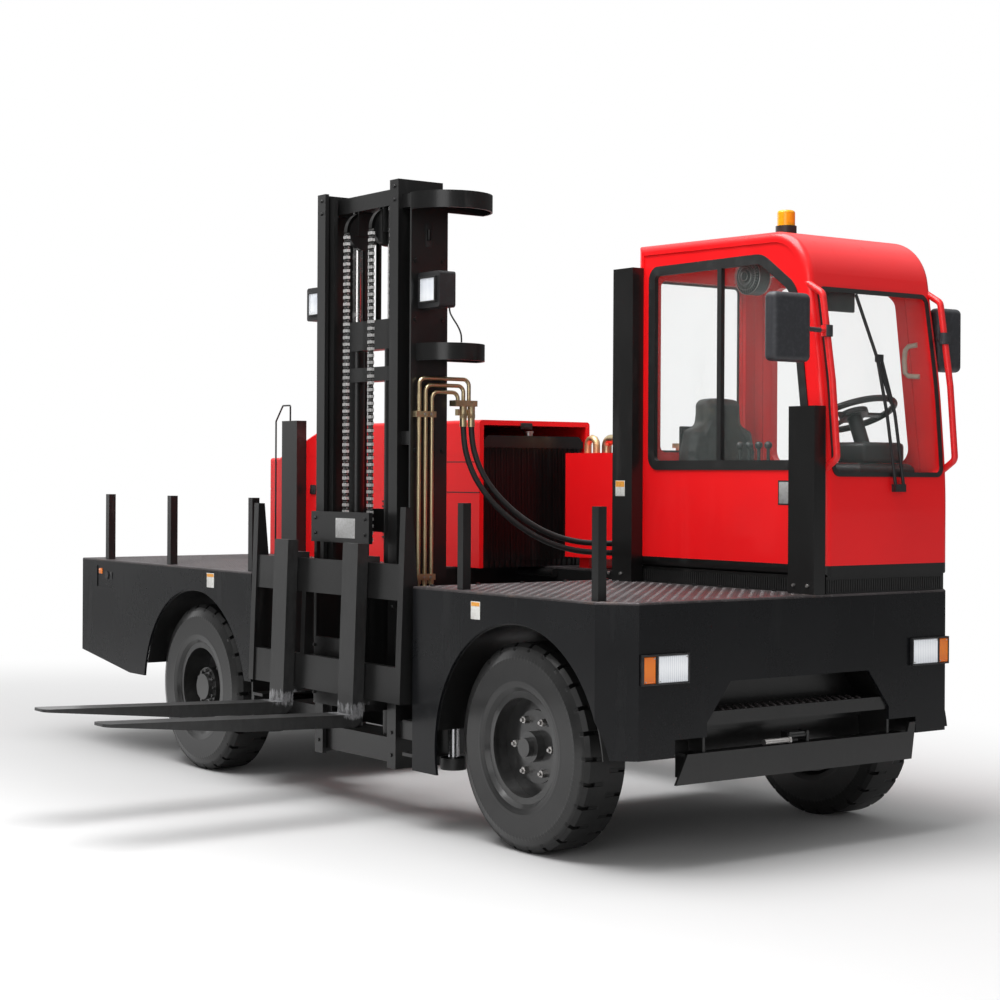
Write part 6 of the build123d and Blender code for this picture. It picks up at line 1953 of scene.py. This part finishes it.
@dataclass
class PowerPack:
    """Fine radiator fins, hood seams, latches and louvres, tank elbow and caps."""

    fin_pitch: float = 0.0098
    tank_top: float = 1.628
    elbow: tuple[tuple[float, float], ...] = (
        (-2.40, -0.004), (-2.40, 0.04), (-2.397, 0.058), (-2.385, 0.072), (-2.365, 0.078), (-2.345, 0.072),
        (-2.333, 0.058), (-2.33, 0.04), (-2.33, -0.004),
    )
    louvres: tuple[tuple[str, Point, Point, float, int], ...] = (
        ("hood_louvres", (0.42, 0.007, 0.009), (-3.25, 1.1985, 1.17), 0.028, 8),
        ("hood_far_louvres", (0.55, 0.007, 0.009), (-3.25, 1.9215, 1.17), 0.028, 14),
        ("hood_tail_louvres", (0.007, 0.46, 0.010), (-4.7015, 1.56, 1.14), 0.03, 12),
    )

    def radiator(self) -> None:
        """Sets the fine fins between the radiator's ribs."""
        fins = [at(-2.5635, 1.256 + self.fin_pitch * k, 1.36) for k in range(62)]
        Pattern("radiator_fins", Stamp.BOX, (0.006, 0.0024, 0.58)).set_at(fins, Slot.black_paint)
        cap, top = Form("radiator_cap"), at(-2.612, 1.56, 1.717)
        cap.rod(top, top + Vector((0, 0, 0.016)), 0.024, 24)
        cap.rod(top + Vector((0, 0, 0.016)), top + Vector((0, 0, 0.026)), 0.028, 12)
        cap.make(Extra.bolt_zinc)

    def hood(self) -> None:
        """Lays the seams, the black handle recess, latches and louvres of the hood."""
        blocks("hood_handle", [
            ((-2.553, 1.46, 1.750), (-2.5445, 1.535, 1.784), 0.003),
            ((-2.546, 1.478, 1.756), (-2.5405, 1.517, 1.768), 0.002),
        ], Slot.black_plastic)
        seams = [((-2.85, 1.1994, z - 0.0025), (-2.552, 1.203, z + 0.0025), 0.0) for z in (1.422, 1.579)]
        seams.append(((-2.8525, 1.1994, 1.04), (-2.8475, 1.203, 1.579), 0.0))
        blocks("hood_seams", seams, Slot.rubber_black)
        latches = []
        for x in (-2.98, -4.2):
            latches.append(((x - 0.03, 1.1925, 1.395), (x + 0.03, 1.2025, 1.45), 0.004))
            latches.append(((x - 0.012, 1.187, 1.405), (x + 0.012, 1.196, 1.44), 0.003))
        blocks("hood_latches", latches, Slot.black_plastic)
        for name, size, (x, y, z), rise, count in self.louvres:
            places = [at(x, y, z + rise * k) for k in range(count)]
            Pattern(name, Stamp.BOX, size).set_at(places, Slot.black_paint)

    def tank(self) -> None:
        """Bends the return elbow and stands the filler cap and sight glass on the tank."""
        top = self.tank_top
        points = [at(x, 1.79, top + rise) for x, rise in self.elbow]
        Form("return_elbow").tube(points, 0.019, 16).make(Extra.brass, angle=60.0)
        cap = Form("filler_cap")
        for x, y in ((-1.98, 1.75), (-1.62, 1.83)):
            foot = at(x, y, top - 0.001)
            cap.rod(foot, foot + Vector((0, 0, 0.012)), 0.036, 28)
            cap.rod(foot + Vector((0, 0, 0.012)), foot + Vector((0, 0, 0.034)), 0.03, 16)
        cap.make(Slot.black_plastic)
        blocks("sight_glass", [((-1.3105, 1.70, 1.22), (-1.302, 1.722, 1.40), 0.003)], Extra.metal_label)

    def build(self) -> None:
        """Builds the detail behind the mast."""
        self.radiator()
        self.hood()
        self.tank()


@dataclass
class UnderGear:
    """Jack collars, the lamp and socket near the tail, and a dark plate under the step that paints the shade
    there.
    """

    band: tuple[tuple[float, float], ...] = (
        (0.0535, -0.014), (0.0565, -0.011), (0.0565, 0.011), (0.0535, 0.014),
    )

    def collars(self) -> None:
        """Rings the lower end of each jack tube with a plated collar."""
        for name, x in (("front_jack_collar", -1.283), ("rear_jack_collar", -2.842)):
            Form(name).lathe(self.band, at(x, 0.165, 0.4895), Vector((0, 0, 1)), 40).make(Extra.bolt_zinc)

    def tail(self) -> None:
        """Sets a small lamp and a socket in the recess near the tail."""
        blocks("tail_side_lamps", [((-4.50, 0.0, 0.955), (-4.46, 0.006, 0.985), 0.002)], Slot.lamp_amber)
        socket = Form("tail_socket").rod(at(-4.40, 0.006, 0.95), at(-4.40, -0.001, 0.95), 0.022, 24)
        socket.box(at(-4.352, 0.0005, 0.93), at(-4.33, 0.006, 0.97), 0.002).make(Slot.black_plastic)

    def guard(self) -> None:
        """Closes the gap between the step pocket and the bumper with a dark plate that stands in for the shade
        behind the bumper.
        """
        # Painted shade: the plate puts dark where there is only shade between the step and the bumper.
        blocks("step_under_guard", [((-0.1795, 0.33, 0.42), (-0.1735, 1.61, 0.60), 0.002)], Slot.black_paint)

    def build(self) -> None:
        """Builds the low detail."""
        self.collars()
        self.tail()
        self.guard()


# ------------------------------------------------------------------------ main


def main() -> None:
    """Builds every class in order."""
    wheels = (Wheel(axle, side) for axle in ("front", "rear") for side in ("near", "far"))
    for part in (
        Studio(), LOW_HOSE, HIGH_HOSE, Shell(frame), Decks(), FrontPanel(), CabTrim(), DriverSeat(), *wheels,
        MastTrim(), PowerPack(), UnderGear(),
    ):
        part.build()
        log.info("finished %s", type(part).__name__)


if __name__ == "__main__":
    main()
